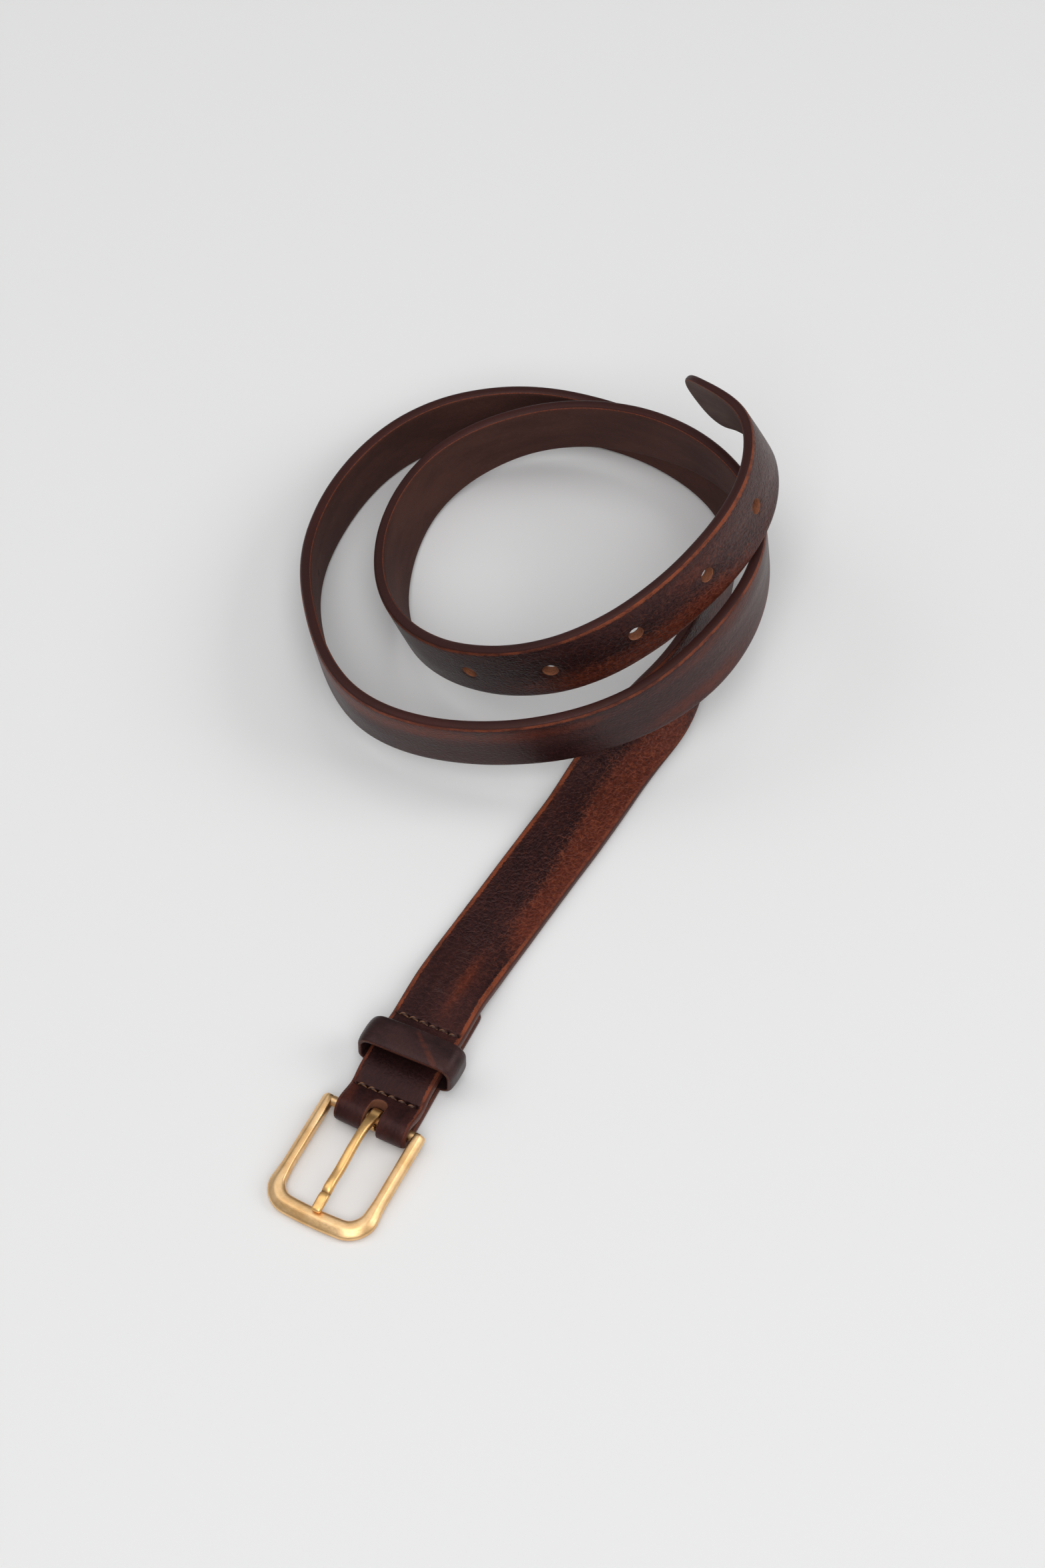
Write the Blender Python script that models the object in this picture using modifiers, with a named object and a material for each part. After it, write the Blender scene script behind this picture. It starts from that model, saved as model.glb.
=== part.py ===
"""A slim leather belt with a brass heel-bar buckle, laid down in a loose rising coil.

The belt is one strap, folded back round the buckle's bar and stitched to itself in two rows. A leather
keeper is caught between the rows. Sizes are in millimetres until the meshes are made.
+Y runs along the buckle end, away from the buckle. +X is across it and z = 0 is the surface it lies on.
"""

from math import cos, pi, radians, sin

import bmesh
import bpy
import numpy as np
from mathutils import Matrix, Vector

MM = 0.001

# Strap
BELT_WIDTH = 22.0
BELT_THICKNESS = 3.4
PARED_THICKNESS = 2.3  # the return and the fold are pared down
EDGE_ROUNDING = 0.9
TIP_LENGTH = 13.0
TIP_END_WIDTH = 8.0
TIP_THICKNESS = 2.4
SKIVED_LENGTH = 45.0  # the last of the strap, which thins towards its tip
HOLE_DIAMETER = 4.4
HOLE_PITCH = 26.2
LAST_HOLE_TO_TIP = 55.5
HOLE_COUNT = 5

# Buckle end
BAR_RADIUS = 1.5
BAR_CLEARANCE = 0.35
BAR_Y = -20.0
RETURN_END_Y = 26.0
END_DRIFT = -0.04  # the buckle end's slant across, per millimetre along
DRIFT_END_Y = 24.0
SLOT_WIDTH = 4.6
SLOT_END_Y = -15.6
ROW_DISTANCE = 12.65  # each stitch row from the origin
FOLD_RADIUS = BAR_RADIUS + BAR_CLEARANCE + PARED_THICKNESS / 2
BAR_Z = FOLD_RADIUS + PARED_THICKNESS / 2
UPPER_REACH = 60.0  # past the fold, over the return and beyond it

# Stitches
STITCH_COUNT = 7
STITCH_PITCH = 3.05
THREAD = 0.8
THREAD_GAP = 0.35
THREAD_RISE = 0.55  # of the thread's thickness, above the grain side
THREAD_LOW = 0.1

# Keeper
KEEPER_LENGTH = 9.4
KEEPER_X = 0.0
KEEPER_Y = 1.3
KEEPER_INSIDE_WIDTH = 25.2
KEEPER_WALL = 1.9
KEEPER_FLOOR = 1.2  # its butted ends are pared thin between the layers
KEEPER_INSIDE_TOP = 11.9
KEEPER_OUTER_CORNER = 3.2
KEEPER_INNER_CORNER = 1.6
KEEPER_EDGE_ROUNDING = 0.4
REST_GAP = 0.3

# Buckle
FRAME_WIDTH = 31.6
FRAME_X = -0.5  # it has slid a little way along its bar
FRAME_FRONT_Y = -55.3
FRAME_REAR_Y = -18.4
FRAME_THICKNESS = 3.3
SIDE_WIDTH = 3.5
FRONT_WIDTH = 5.2
FRONT_BOW = 0.7
CORNER_RADIUS = 7.5
FRAME_TILT = 4.0  # degrees, from the raised bar down to the front
FRAME_EDGE_ROUNDING = 0.8
PRONG_EYE_RADIUS = 3.1
PRONG_EYE_WIDTH = 3.6
PRONG_RADIUS = 1.4

# The prong's line as (y from the bar, rise over the bar's top, share of full radius), and then the same over
# the frame's front for its flattened tip
PRONG_HUMP = ((0.4, -0.1, 1.0), (-3.0, 0.5, 1.0), (-7.0, 0.7, 1.0), (-13.0, 0.2, 1.0), (-20.0, -1.0, 1.0))
PRONG_TIP = ((-27.0, 2.0, 1.0), (-29.0, 1.45, 0.85), (-32.0, 1.15, 0.8), (-32.9, 1.05, 0.65))

# Centre height of the strap's upper layer at the buckle end, as (y, z)
UPPER_LAYER = (
    (-18.4, 6.75), (-16.4, 5.75), (-14.4, 4.85), (-12.4, 4.45), (-10.2, 4.95), (-7.8, 5.7), (-4.0, 5.9),
    (0.0, 5.9), (4.0, 5.9), (7.4, 5.7), (9.8, 5.0), (12.4, 4.45), (16.0, 4.3), (21.0, 4.3), (27.0, 4.2),
    (33.0, 3.3), (38.0, 2.5),
)

# The coil, as (x, y, height of the lower edge, lean): lean 0 lies grain up, 90 stands on its right edge
COIL = (
    (-1.5, 45, 0.2, 0), (-0.5, 60, 0.1, 0), (0.9, 80, 0.2, 0), (2.3, 100, 0.4, 0), (4, 125, 0, 16),
    (8, 145, 0, 54), (5, 181, 1, 83), (-9, 219, 0, 98), (-39, 229, 0, 86), (-81, 221, 0, 90),
    (-104, 201, 0, 88), (-113, 164, 0, 93), (-107, 135, 1.5, 95), (-93, 113, 5, 98), (-66, 91, 9, 101),
    (-19, 96, 15.5, 98), (11, 121, 21.5, 87), (20, 142, 24, 79), (16, 187, 25.5, 84),
    (-2, 207, 23.5, 77), (-38, 219, 15.5, 80), (-72, 211, 7, 83), (-91, 186, 1, 98),
    (-91, 161, 0, 108), (-72, 127, 5.5, 109), (-46, 114, 15.5, 104), (-14, 119, 29.5, 89),
    (12, 158, 45, 74), (10, 196, 50.5, 66), (3, 205.5, 51, 66), (-13.5, 213.5, 46.7, 70),
    (-20.5, 217, 42, 70.5),
)


def drift(y):
    return END_DRIFT * (min(y, DRIFT_END_Y) - BAR_Y)


def ease(value, start, end):
    t = np.clip((value - start) / (end - start), 0.0, 1.0)
    return t * t * (3 - 2 * t)


def spline(knots, samples):
    """Natural cubic through the knots, by chord length."""
    knots = np.array(knots, float)
    steps = np.linalg.norm(np.diff(knots[:, :3], axis=0), axis=1)
    chord = np.concatenate([[0.0], np.cumsum(steps)])
    count = len(knots)
    system = np.eye(count)
    right = np.zeros_like(knots)
    slopes = np.diff(knots, axis=0) / steps[:, None]
    for i in range(1, count - 1):
        system[i, i - 1 : i + 2] = steps[i - 1], 2 * (steps[i - 1] + steps[i]), steps[i]
        right[i] = 6 * (slopes[i] - slopes[i - 1])
    bends = np.linalg.solve(system, right)
    at = np.linspace(0.0, chord[-1], samples)
    i = np.clip(np.searchsorted(chord, at) - 1, 0, count - 2)
    after = ((at - chord[i]) / steps[i])[:, None]
    before = 1 - after
    curve = before * knots[i] + after * knots[i + 1]
    bend = (before**3 - before) * bends[i] + (after**3 - after) * bends[i + 1]
    return curve + bend * steps[i, None] ** 2 / 6


def knots():
    """The centre line as (x, y, z, lean), from the return's end round the bar and on to the tip."""
    low = PARED_THICKNESS / 2
    points = [(drift(y), y, low, 0) for y in np.linspace(RETURN_END_Y, BAR_Y, 16)]
    for turn in range(15, 181, 15):
        angle = radians(turn)
        y = BAR_Y - FOLD_RADIUS * sin(angle)
        points.append((drift(y), y, BAR_Z - FOLD_RADIUS * cos(angle), 0))
    points += [(drift(y), y, z, 0) for y, z in UPPER_LAYER]
    for x, y, lift, lean in COIL:
        angle = radians(lean)
        z = lift + sin(angle) * BELT_WIDTH / 2 + abs(cos(angle)) * BELT_THICKNESS / 2
        points.append((x, y, z, lean))
    return points


class Route:
    """The strap's centre line, with the directions across it and out of its grain side."""

    def __init__(self):
        dense = spline(knots(), 6000)
        self.point = dense[:, :3]
        step = np.linalg.norm(np.diff(self.point, axis=0), axis=1)
        self.along = np.concatenate([[0.0], np.cumsum(step)])
        self.length = self.along[-1]
        ahead = np.gradient(self.point, self.along, axis=0)
        ahead /= np.linalg.norm(ahead, axis=1)[:, None]
        self.end_of_fold = self.along[np.argmax(self.point[:, 2] > BAR_Z + FOLD_RADIUS * 0.99)]
        level = np.cross((0.0, 0.0, 1.0), ahead)
        level /= np.linalg.norm(level, axis=1)[:, None]
        # Through the fold the strap stays square to the bar, and it takes up the route's own heading after
        free = ease(self.along, self.end_of_fold + 35.0, self.end_of_fold + 60.0)[:, None]
        level = np.where(free > 0, level, 0.0) * free + np.array((-1.0, 0.0, 0.0)) * (1 - free)
        lean = np.radians(dense[:, 3])[:, None]
        across = np.cos(lean) * level + np.sin(lean) * np.cross(ahead, level)
        across -= (across * ahead).sum(axis=1)[:, None] * ahead
        self.across = across / np.linalg.norm(across, axis=1)[:, None]
        self.grain = np.cross(ahead, self.across)

    def read(self, values, at):
        return np.stack([np.interp(at, self.along, values[:, k]) for k in range(3)], axis=-1)

    def thickness(self, at):
        start = self.end_of_fold + 1.0
        grown = (BELT_THICKNESS - PARED_THICKNESS) * ease(at, start, start + 6.0)
        skived = (BELT_THICKNESS - TIP_THICKNESS) * ease(at, self.length - SKIVED_LENGTH, self.length)
        return PARED_THICKNESS + grown - skived

    def width(self, at):
        into_tip = np.clip((at - self.length + TIP_LENGTH) / TIP_LENGTH, 0.0, 1.0)
        span = 1 - (TIP_END_WIDTH / BELT_WIDTH) ** 2
        return BELT_WIDTH * np.sqrt(1 - span * into_tip**2)

    def place(self, at, side, height):
        """The point `side` across and `height` out of the grain, as shares of the width and thickness."""
        offset = self.read(self.across, at) * (side * self.width(at))[:, None]
        rise = self.read(self.grain, at) * (height * self.thickness(at))[:, None]
        return self.read(self.point, at) + offset + rise


ROUTE = Route()


def collection(name):
    group = bpy.data.collections.new(name)
    bpy.context.scene.collection.children.link(group)
    return group


def material(name, color, roughness, metallic=0.0):
    made = bpy.data.materials.new(name)
    made.use_nodes = True
    shader = made.node_tree.nodes["Principled BSDF"]
    shader.inputs["Base Color"].default_value = (*color, 1.0)
    shader.inputs["Roughness"].default_value = roughness
    shader.inputs["Metallic"].default_value = metallic
    return made


def add(name, mesh, group, finish=None, place=Matrix()):
    """One object of the mesh. With no finish it is a helper, left out of the belt."""
    made = bpy.data.objects.new(name, mesh)
    made.matrix_world = place
    group.objects.link(made)
    if finish:
        mesh.materials.append(finish)
    else:
        made.hide_render = True
        made.display_type = "WIRE"
    return made


def smooth(mesh):
    mesh.shade_smooth()
    mesh.set_sharp_from_angle(angle=radians(35))


def flat_plate(name, outlines, thickness, place=Matrix()):
    """Mesh of a plate cut to the outlines, which are in its own x and y, centred on its own z = 0."""
    curve = bpy.data.curves.new(name, "CURVE")
    curve.dimensions = "2D"
    curve.fill_mode = "BOTH"
    curve.extrude = thickness / 2 * MM
    for outline in outlines:
        spline_ = curve.splines.new("POLY")
        spline_.points.add(len(outline) - 1)
        for point, (x, y) in zip(spline_.points, outline):
            point.co = (x * MM, y * MM, 0.0, 1.0)
        spline_.use_cyclic_u = True
    return welded_mesh(name, curve, place)


def welded_mesh(name, curve, place=Matrix()):
    """The curve as a closed mesh, with its caps joined to its sides and its place applied."""
    helper = bpy.data.objects.new(name, curve)
    bpy.context.scene.collection.objects.link(helper)
    graph = bpy.context.evaluated_depsgraph_get()
    mesh = bpy.data.meshes.new_from_object(helper.evaluated_get(graph))
    bpy.data.objects.remove(helper)
    shape = bmesh.new()
    shape.from_mesh(mesh)
    bmesh.ops.remove_doubles(shape, verts=shape.verts, dist=1e-7)
    bmesh.ops.transform(shape, matrix=place, verts=shape.verts)
    bmesh.ops.recalc_face_normals(shape, faces=shape.faces)
    shape.to_mesh(mesh)
    shape.free()
    return mesh


def arc(center, radius, start, end, steps):
    angles = [radians(start + (end - start) * i / steps) for i in range(steps + 1)]
    return [(center[0] + radius * cos(a), center[1] + radius * sin(a)) for a in angles]


def rounded_box(left, right, low, high, radius, steps=3):
    corners = ((right, high, 0), (left, high, 90), (left, low, 180), (right, low, 270))
    points = []
    for x, y, start in corners:
        inset = (x - radius * np.sign(x - (left + right) / 2), y - radius * np.sign(y - (low + high) / 2))
        points += arc(inset, radius, start, start + 90, steps)
    return points


def bevel(made, width, segments=1):
    modifier = made.modifiers.new("bevel", "BEVEL")
    modifier.width = width * MM
    modifier.segments = segments
    modifier.limit_method = "ANGLE"
    modifier.angle_limit = radians(50)


def combine(made, other, operation):
    modifier = made.modifiers.new(operation.lower(), "BOOLEAN")
    modifier.operation = operation
    if isinstance(other, bpy.types.Collection):
        modifier.operand_type = "COLLECTION"
        modifier.collection = other
    else:
        modifier.object = other


def slices():
    """Where the straight blank is cut across, close together round the fold and at the tip."""
    fold_start = ROUTE.end_of_fold - pi * FOLD_RADIUS
    buckle_end = ROUTE.end_of_fold + 75.0
    tip_start = ROUTE.length - TIP_LENGTH
    return np.concatenate(
        [
            np.linspace(6.0, fold_start, 7, endpoint=False),
            np.linspace(fold_start, ROUTE.end_of_fold, 13, endpoint=False),
            np.linspace(ROUTE.end_of_fold, buckle_end, 34, endpoint=False),
            np.linspace(buckle_end, tip_start, 132, endpoint=False),
            tip_start + TIP_LENGTH * np.sin(np.linspace(0, pi / 2, 8, endpoint=False)),
        ]
    )


def strap(group, cutters, finish):
    """A straight blank with eased edges, sliced across and then bent to the route."""
    blank = bmesh.new()
    bmesh.ops.create_cube(blank, size=1.0)
    bmesh.ops.scale(blank, vec=(ROUTE.length, BELT_WIDTH, BELT_THICKNESS), verts=blank.verts)
    bmesh.ops.translate(blank, vec=(ROUTE.length / 2, 0, 0), verts=blank.verts)
    long_edges = [e for e in blank.edges if abs(e.verts[0].co.x - e.verts[1].co.x) > 1]
    bmesh.ops.bevel(blank, geom=long_edges, offset=EDGE_ROUNDING, segments=1, affect="EDGES")
    for at in slices():
        every = blank.verts[:] + blank.edges[:] + blank.faces[:]
        bmesh.ops.bisect_plane(blank, geom=every, dist=1e-5, plane_co=(at, 0, 0), plane_no=(1, 0, 0))
    flat = np.array([v.co[:] for v in blank.verts])
    bent = ROUTE.place(flat[:, 0], flat[:, 1] / BELT_WIDTH, flat[:, 2] / BELT_THICKNESS)
    for vert, place in zip(blank.verts, bent):
        vert.co = Vector(place) * MM
    bmesh.ops.triangulate(blank, faces=blank.faces)
    bmesh.ops.recalc_face_normals(blank, faces=blank.faces)
    mesh = bpy.data.meshes.new("strap")
    blank.to_mesh(mesh)
    blank.free()
    smooth(mesh)
    combine(add("strap", mesh, group, finish), cutters, "DIFFERENCE")


def hole_cutters(cutters):
    """A round punch through the strap at each belt hole, square to its grain."""
    last = ROUTE.length - LAST_HOLE_TO_TIP
    for i in range(HOLE_COUNT):
        at = last - (HOLE_COUNT - 1 - i) * HOLE_PITCH
        center = Vector(ROUTE.read(ROUTE.point, at)) * MM
        grain = Vector(ROUTE.read(ROUTE.grain, at))
        punch = bmesh.new()
        radius = HOLE_DIAMETER / 2 * MM
        bmesh.ops.create_cone(
            punch, cap_ends=True, segments=16, radius1=radius, radius2=radius, depth=3 * BELT_THICKNESS * MM
        )
        mesh = bpy.data.meshes.new(f"hole_punch_{i + 1}")
        punch.to_mesh(mesh)
        punch.free()
        turn = grain.to_track_quat("Z", "Y").to_matrix().to_4x4()
        add(mesh.name, mesh, cutters, place=Matrix.Translation(center) @ turn)


def slot_cutter(cutters):
    """The prong's slot, round-ended, through the fold and both layers."""
    half = SLOT_WIDTH / 2
    front = BAR_Y - FOLD_RADIUS - PARED_THICKNESS
    outline = [(half, front)] + arc((0, SLOT_END_Y - half), half, 0, 180, 8) + [(-half, front)]
    place = Matrix.Translation((drift(BAR_Y) * MM, 0, BAR_Z * MM))
    add("slot_punch", flat_plate("slot_punch", [outline], 20.0, place), cutters)


def ladder(center, low, high, grow):
    """Outlines of one stitch row seen along Y: a thread above, one below, and one down each hole."""
    half = (STITCH_COUNT - 1) / 2 * STITCH_PITCH
    bar = THREAD / 2 + grow
    outlines = [
        [
            (center - half - bar, low - grow),
            (center + half + bar, low - grow),
            (center + half + bar, high + grow),
            (center - half - bar, high + grow),
        ]
    ]
    for i in range(STITCH_COUNT - 1):
        left = center - half + i * STITCH_PITCH + bar
        right = left + STITCH_PITCH - 2 * bar
        floor, ceiling = low + THREAD + grow, high - THREAD - grow
        outlines.append([(left, floor), (left, ceiling), (right, ceiling), (right, floor)])
    return outlines


def stitch_row(name, y, group, cutters, finish):
    """Thread through both layers, sunk a little into the leather above and below."""
    upright = Matrix.Translation((0, y * MM, 0)) @ Matrix.Rotation(pi / 2, 4, "X")
    top = row_surface(y) + THREAD_RISE * THREAD
    thread = flat_plate(name, ladder(drift(y), THREAD_LOW, top, 0.0), THREAD, upright)
    add(name, thread, group, finish)
    around = ladder(drift(y), THREAD_LOW, top, THREAD_GAP)
    room = flat_plate(f"{name}_awl", around, THREAD + 2 * THREAD_GAP, upright)
    add(room.name, room, cutters)


def row_surface(y):
    """Height of the upper layer's grain side over y, at the buckle end."""
    over = (ROUTE.along > ROUTE.end_of_fold) & (ROUTE.along < ROUTE.end_of_fold + UPPER_REACH)
    at = np.interp(y, ROUTE.point[over, 1], ROUTE.along[over])
    return float(ROUTE.read(ROUTE.point, at)[2] + ROUTE.thickness(at) / 2)


def keeper(group, finish):
    """A loop of leather round the upper layer, its pared ends meeting between the layers."""
    inside = KEEPER_INSIDE_WIDTH / 2
    low = PARED_THICKNESS + REST_GAP
    outside = inside + KEEPER_WALL
    outer = rounded_box(-outside, outside, low, KEEPER_INSIDE_TOP + KEEPER_WALL, KEEPER_OUTER_CORNER)
    inner = rounded_box(-inside, inside, low + KEEPER_FLOOR, KEEPER_INSIDE_TOP, KEEPER_INNER_CORNER)
    place = Matrix.Translation((KEEPER_X * MM, KEEPER_Y * MM, 0)) @ Matrix.Rotation(pi / 2, 4, "X")
    mesh = flat_plate("keeper", [outer, inner[::-1]], KEEPER_LENGTH, place)
    bevel(add("keeper", mesh, group, finish), KEEPER_EDGE_ROUNDING)


def frame_side(half_width, front, corner):
    """One U of the frame's outline from its right rear to its left rear, with a bowed front."""
    points = [(half_width, FRAME_REAR_Y)]
    points += arc((half_width - corner, front + corner), corner, 0, -75, 6)
    run = half_width - corner * 0.75
    bow = [(x, front - FRONT_BOW * (1 - (x / run) ** 2)) for x in np.linspace(run, -run, 9)[1:-1]]
    points += bow
    points += arc((corner - half_width, front + corner), corner, -105, -180, 6)
    return points + [(-half_width, FRAME_REAR_Y)]


def about_bar(angle):
    """A turn about the bar: positive lifts the front."""
    bar = Vector((0, BAR_Y * MM, BAR_Z * MM))
    return Matrix.Translation(bar) @ Matrix.Rotation(-radians(angle), 4, "X") @ Matrix.Translation(-bar)


def bar_rod(name, radius, width):
    """Mesh of a round rod on the bar's axis."""
    rod = bmesh.new()
    place = Matrix.Translation((0, BAR_Y * MM, BAR_Z * MM)) @ Matrix.Rotation(pi / 2, 4, "Y")
    size = radius * MM
    bmesh.ops.create_cone(
        rod, cap_ends=True, segments=20, radius1=size, radius2=size, depth=width * MM, matrix=place
    )
    mesh = bpy.data.meshes.new(name)
    rod.to_mesh(mesh)
    rod.free()
    return mesh


def buckle_frame(group, helpers, finish):
    """A three-sided cast frame, joined by the bar that the leather folds round."""
    half = FRAME_WIDTH / 2
    outer = frame_side(half, FRAME_FRONT_Y, CORNER_RADIUS)
    inner = frame_side(half - SIDE_WIDTH, FRAME_FRONT_Y + FRONT_WIDTH, CORNER_RADIUS - SIDE_WIDTH)
    place = about_bar(-FRAME_TILT) @ Matrix.Translation((FRAME_X * MM, 0, BAR_Z * MM))
    mesh = flat_plate("buckle_frame", [outer + inner[::-1]], FRAME_THICKNESS, place)
    frame = add("buckle_frame", mesh, group, finish)
    bevel(frame, FRAME_EDGE_ROUNDING, 2)
    rod = add("bar_rod", bar_rod("bar_rod", BAR_RADIUS, FRAME_WIDTH - SIDE_WIDTH), helpers)
    combine(frame, rod, "UNION")


def prong(group, helpers, finish):
    """A rod that humps out of the slot and comes down on the frame's front, curled to an eye on the bar."""
    bar_top = BAR_Z + BAR_RADIUS + REST_GAP + PRONG_RADIUS * 0.9
    tilt = radians(FRAME_TILT)
    front = BAR_Y - FRAME_FRONT_Y
    rest = BAR_Z - sin(tilt) * front + cos(tilt) * FRAME_THICKNESS / 2 + REST_GAP
    path = [(BAR_Y + y, bar_top + rise, share) for y, rise, share in PRONG_HUMP]
    path += [(BAR_Y + y, rest + rise, share) for y, rise, share in PRONG_TIP]
    curve = bpy.data.curves.new("prong", "CURVE")
    curve.dimensions = "3D"
    curve.bevel_depth = PRONG_RADIUS * MM
    curve.bevel_resolution = 3
    curve.use_fill_caps = True
    line = curve.splines.new("POLY")
    line.points.add(len(path) - 1)
    for point, (y, z, share) in zip(line.points, path):
        point.co = (0.0, y * MM, z * MM, 1.0)
        point.radius = share
    made = add("prong", welded_mesh("prong", curve), group, finish)
    eye = add("prong_eye", bar_rod("prong_eye", PRONG_EYE_RADIUS, PRONG_EYE_WIDTH), helpers)
    bore = add("prong_bore", bar_rod("prong_bore", BAR_RADIUS + REST_GAP, PRONG_EYE_WIDTH + 2), helpers)
    combine(made, eye, "UNION")
    combine(made, bore, "DIFFERENCE")


def main():
    for old in list(bpy.data.objects):
        bpy.data.objects.remove(old)
    belt = collection("leather_belt")
    cutters = collection("strap_cutters")
    helpers = collection("buckle_helpers")
    leather = material("dark_leather", (0.045, 0.018, 0.014), 0.42)
    brass = material("satin_brass", (0.72, 0.45, 0.16), 0.3, 1.0)
    thread = material("waxed_thread", (0.16, 0.07, 0.03), 0.7)
    slot_cutter(cutters)
    hole_cutters(cutters)
    stitch_row("stitch_row_front", -ROW_DISTANCE, belt, cutters, thread)
    stitch_row("stitch_row_rear", ROW_DISTANCE, belt, cutters, thread)
    strap(belt, cutters, leather)
    keeper(belt, leather)
    buckle_frame(belt, helpers, brass)
    prong(belt, helpers, brass)


main()
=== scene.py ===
from math import cos, pi, radians, sin

import bmesh
import bpy
import numpy as np
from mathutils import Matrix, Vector


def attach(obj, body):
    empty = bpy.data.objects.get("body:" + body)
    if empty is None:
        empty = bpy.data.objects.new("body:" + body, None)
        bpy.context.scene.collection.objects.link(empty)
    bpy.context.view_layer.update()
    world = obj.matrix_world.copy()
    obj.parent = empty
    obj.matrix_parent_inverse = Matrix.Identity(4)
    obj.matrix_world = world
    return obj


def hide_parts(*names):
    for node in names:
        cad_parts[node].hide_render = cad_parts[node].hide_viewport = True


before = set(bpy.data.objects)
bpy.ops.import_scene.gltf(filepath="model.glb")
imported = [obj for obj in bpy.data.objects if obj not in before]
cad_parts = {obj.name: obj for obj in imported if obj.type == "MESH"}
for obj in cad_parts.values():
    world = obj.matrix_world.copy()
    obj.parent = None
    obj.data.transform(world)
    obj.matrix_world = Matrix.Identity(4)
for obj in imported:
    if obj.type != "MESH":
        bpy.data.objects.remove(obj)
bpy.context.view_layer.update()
mm = 0.001
rng = np.random.default_rng(11)
print("frame loaded:", ", ".join(sorted(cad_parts)))


studio = {
    "lookAt": (-0.01854, 0.10190, 0.0),
    "elevation": 53.6,  # degrees above the floor
    "azimuth": 27.7,
    "distance": 1.12505,
    "lens": 88.8,
    "filmHeight": 36.0,
    "floorTone": 0.82,
    "floorHalf": 4.0,
    "floorDrop": 0.0001,
    "skyStrength": 0.28,
    # place, size, watts: each softbox faces the belt
    "softboxes": (
        ((1.9, 0.9, 1.5), 1.4, 17.0),
        ((-1.6, -0.4, 2.0), 1.5, 8.0),
        ((-0.1, 0.1, 2.6), 1.8, 14.0),
        ((0.72, -1.37, 2.1), 1.6, 29.0),
    ),
}


def addCamera(settings):
    # Stands back from the point it looks at, along a line at the given elevation and azimuth
    a, e = radians(settings["azimuth"]), radians(settings["elevation"])
    ahead = Vector((-sin(a) * cos(e), cos(a) * cos(e), -sin(e)))
    lens = bpy.data.cameras.new("studioCamera")
    lens.sensor_fit = "VERTICAL"
    lens.sensor_height = settings["filmHeight"]
    lens.lens = settings["lens"]
    lens.clip_end = 20.0
    camera = bpy.data.objects.new("studioCamera", lens)
    bpy.context.scene.collection.objects.link(camera)
    camera.location = Vector(settings["lookAt"]) - settings["distance"] * ahead
    camera.rotation_euler = ahead.to_track_quat("-Z", "Y").to_euler()
    bpy.context.scene.camera = camera


def addSoftbox(index, place, size, watts, aim):
    lamp = bpy.data.lights.new(f"softbox{index}", "AREA")
    lamp.shape = "SQUARE"
    lamp.size = size
    lamp.energy = watts
    box = bpy.data.objects.new(lamp.name, lamp)
    bpy.context.scene.collection.objects.link(box)
    box.location = place
    box.rotation_euler = (Vector(aim) - Vector(place)).to_track_quat("-Z", "Y").to_euler()


addCamera(studio)
for number, (place, size, watts) in enumerate(studio["softboxes"]):
    addSoftbox(number, place, size, watts, studio["lookAt"])

world = bpy.data.worlds.new("paleRoom")
world.use_nodes = True
world.node_tree.nodes["Background"].inputs["Color"].default_value = (1.0, 1.0, 1.0, 1.0)
world.node_tree.nodes["Background"].inputs["Strength"].default_value = studio["skyStrength"]
bpy.context.scene.world = world
bpy.context.scene.view_settings.view_transform = "Standard"
print("camera, softboxes and sky placed")


tree = None  # node tree of the material being made, which the functions below add to


def newMaterial(name):
    global tree
    made = bpy.data.materials.new(name)
    made.use_nodes = True
    tree = made.node_tree
    return made, tree.nodes["Principled BSDF"]


def put(value, socket):
    # A number or a colour is set on the socket, and anything else is linked to it
    if isinstance(value, bpy.types.NodeSocket):
        tree.links.new(value, socket)
    elif isinstance(value, (int, float)):
        socket.default_value = value
    else:
        socket.default_value = tuple(value) if len(value) == len(socket.default_value) else (*value, 1.0)


def maths(operation, a, b, clamp=False):
    node = tree.nodes.new("ShaderNodeMath")
    node.operation = operation
    node.use_clamp = clamp
    put(a, node.inputs[0])
    put(b, node.inputs[1])
    return node.outputs[0]


def times(a, b):
    return maths("MULTIPLY", a, b)


def plus(a, b, clamp=False):
    return maths("ADD", a, b, clamp)


def minus(a, b):
    return maths("SUBTRACT", a, b)


def fade(value, start, end, low=0.0, high=1.0):
    # Smooth step of the value, from low at start to high at end
    node = tree.nodes.new("ShaderNodeMapRange")
    node.interpolation_type = "SMOOTHSTEP"
    put(value, node.inputs["Value"])
    for socket, number in zip(("From Min", "From Max", "To Min", "To Max"), (start, end, low, high)):
        put(number, node.inputs[socket])
    return node.outputs["Result"]


def blend(share, a, b, kind="MIX"):
    node = tree.nodes.new("ShaderNodeMix")
    node.data_type = "RGBA"
    node.blend_type = kind
    put(share, node.inputs[0])
    put(a, node.inputs[6])
    put(b, node.inputs[7])
    return node.outputs[2]


def attribute(name, output="Fac"):
    node = tree.nodes.new("ShaderNodeAttribute")
    node.attribute_name = name
    return node.outputs[output]


def stretched(vector, scale):
    node = tree.nodes.new("ShaderNodeMapping")
    put(vector, node.inputs["Vector"])
    node.inputs["Scale"].default_value = scale
    return node.outputs["Vector"]


def cloud(vector, scale, detail, rough):
    node = tree.nodes.new("ShaderNodeTexNoise")
    put(vector, node.inputs["Vector"])
    for socket, number in zip(("Scale", "Detail", "Roughness"), (scale, detail, rough)):
        node.inputs[socket].default_value = number
    return node.outputs["Fac"]


def cells(vector, scale):
    # Distance to the nearest edge of a cell, in cell widths
    node = tree.nodes.new("ShaderNodeTexVoronoi")
    node.feature = "DISTANCE_TO_EDGE"
    put(vector, node.inputs["Vector"])
    node.inputs["Scale"].default_value = scale
    return node.outputs["Distance"]


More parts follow.
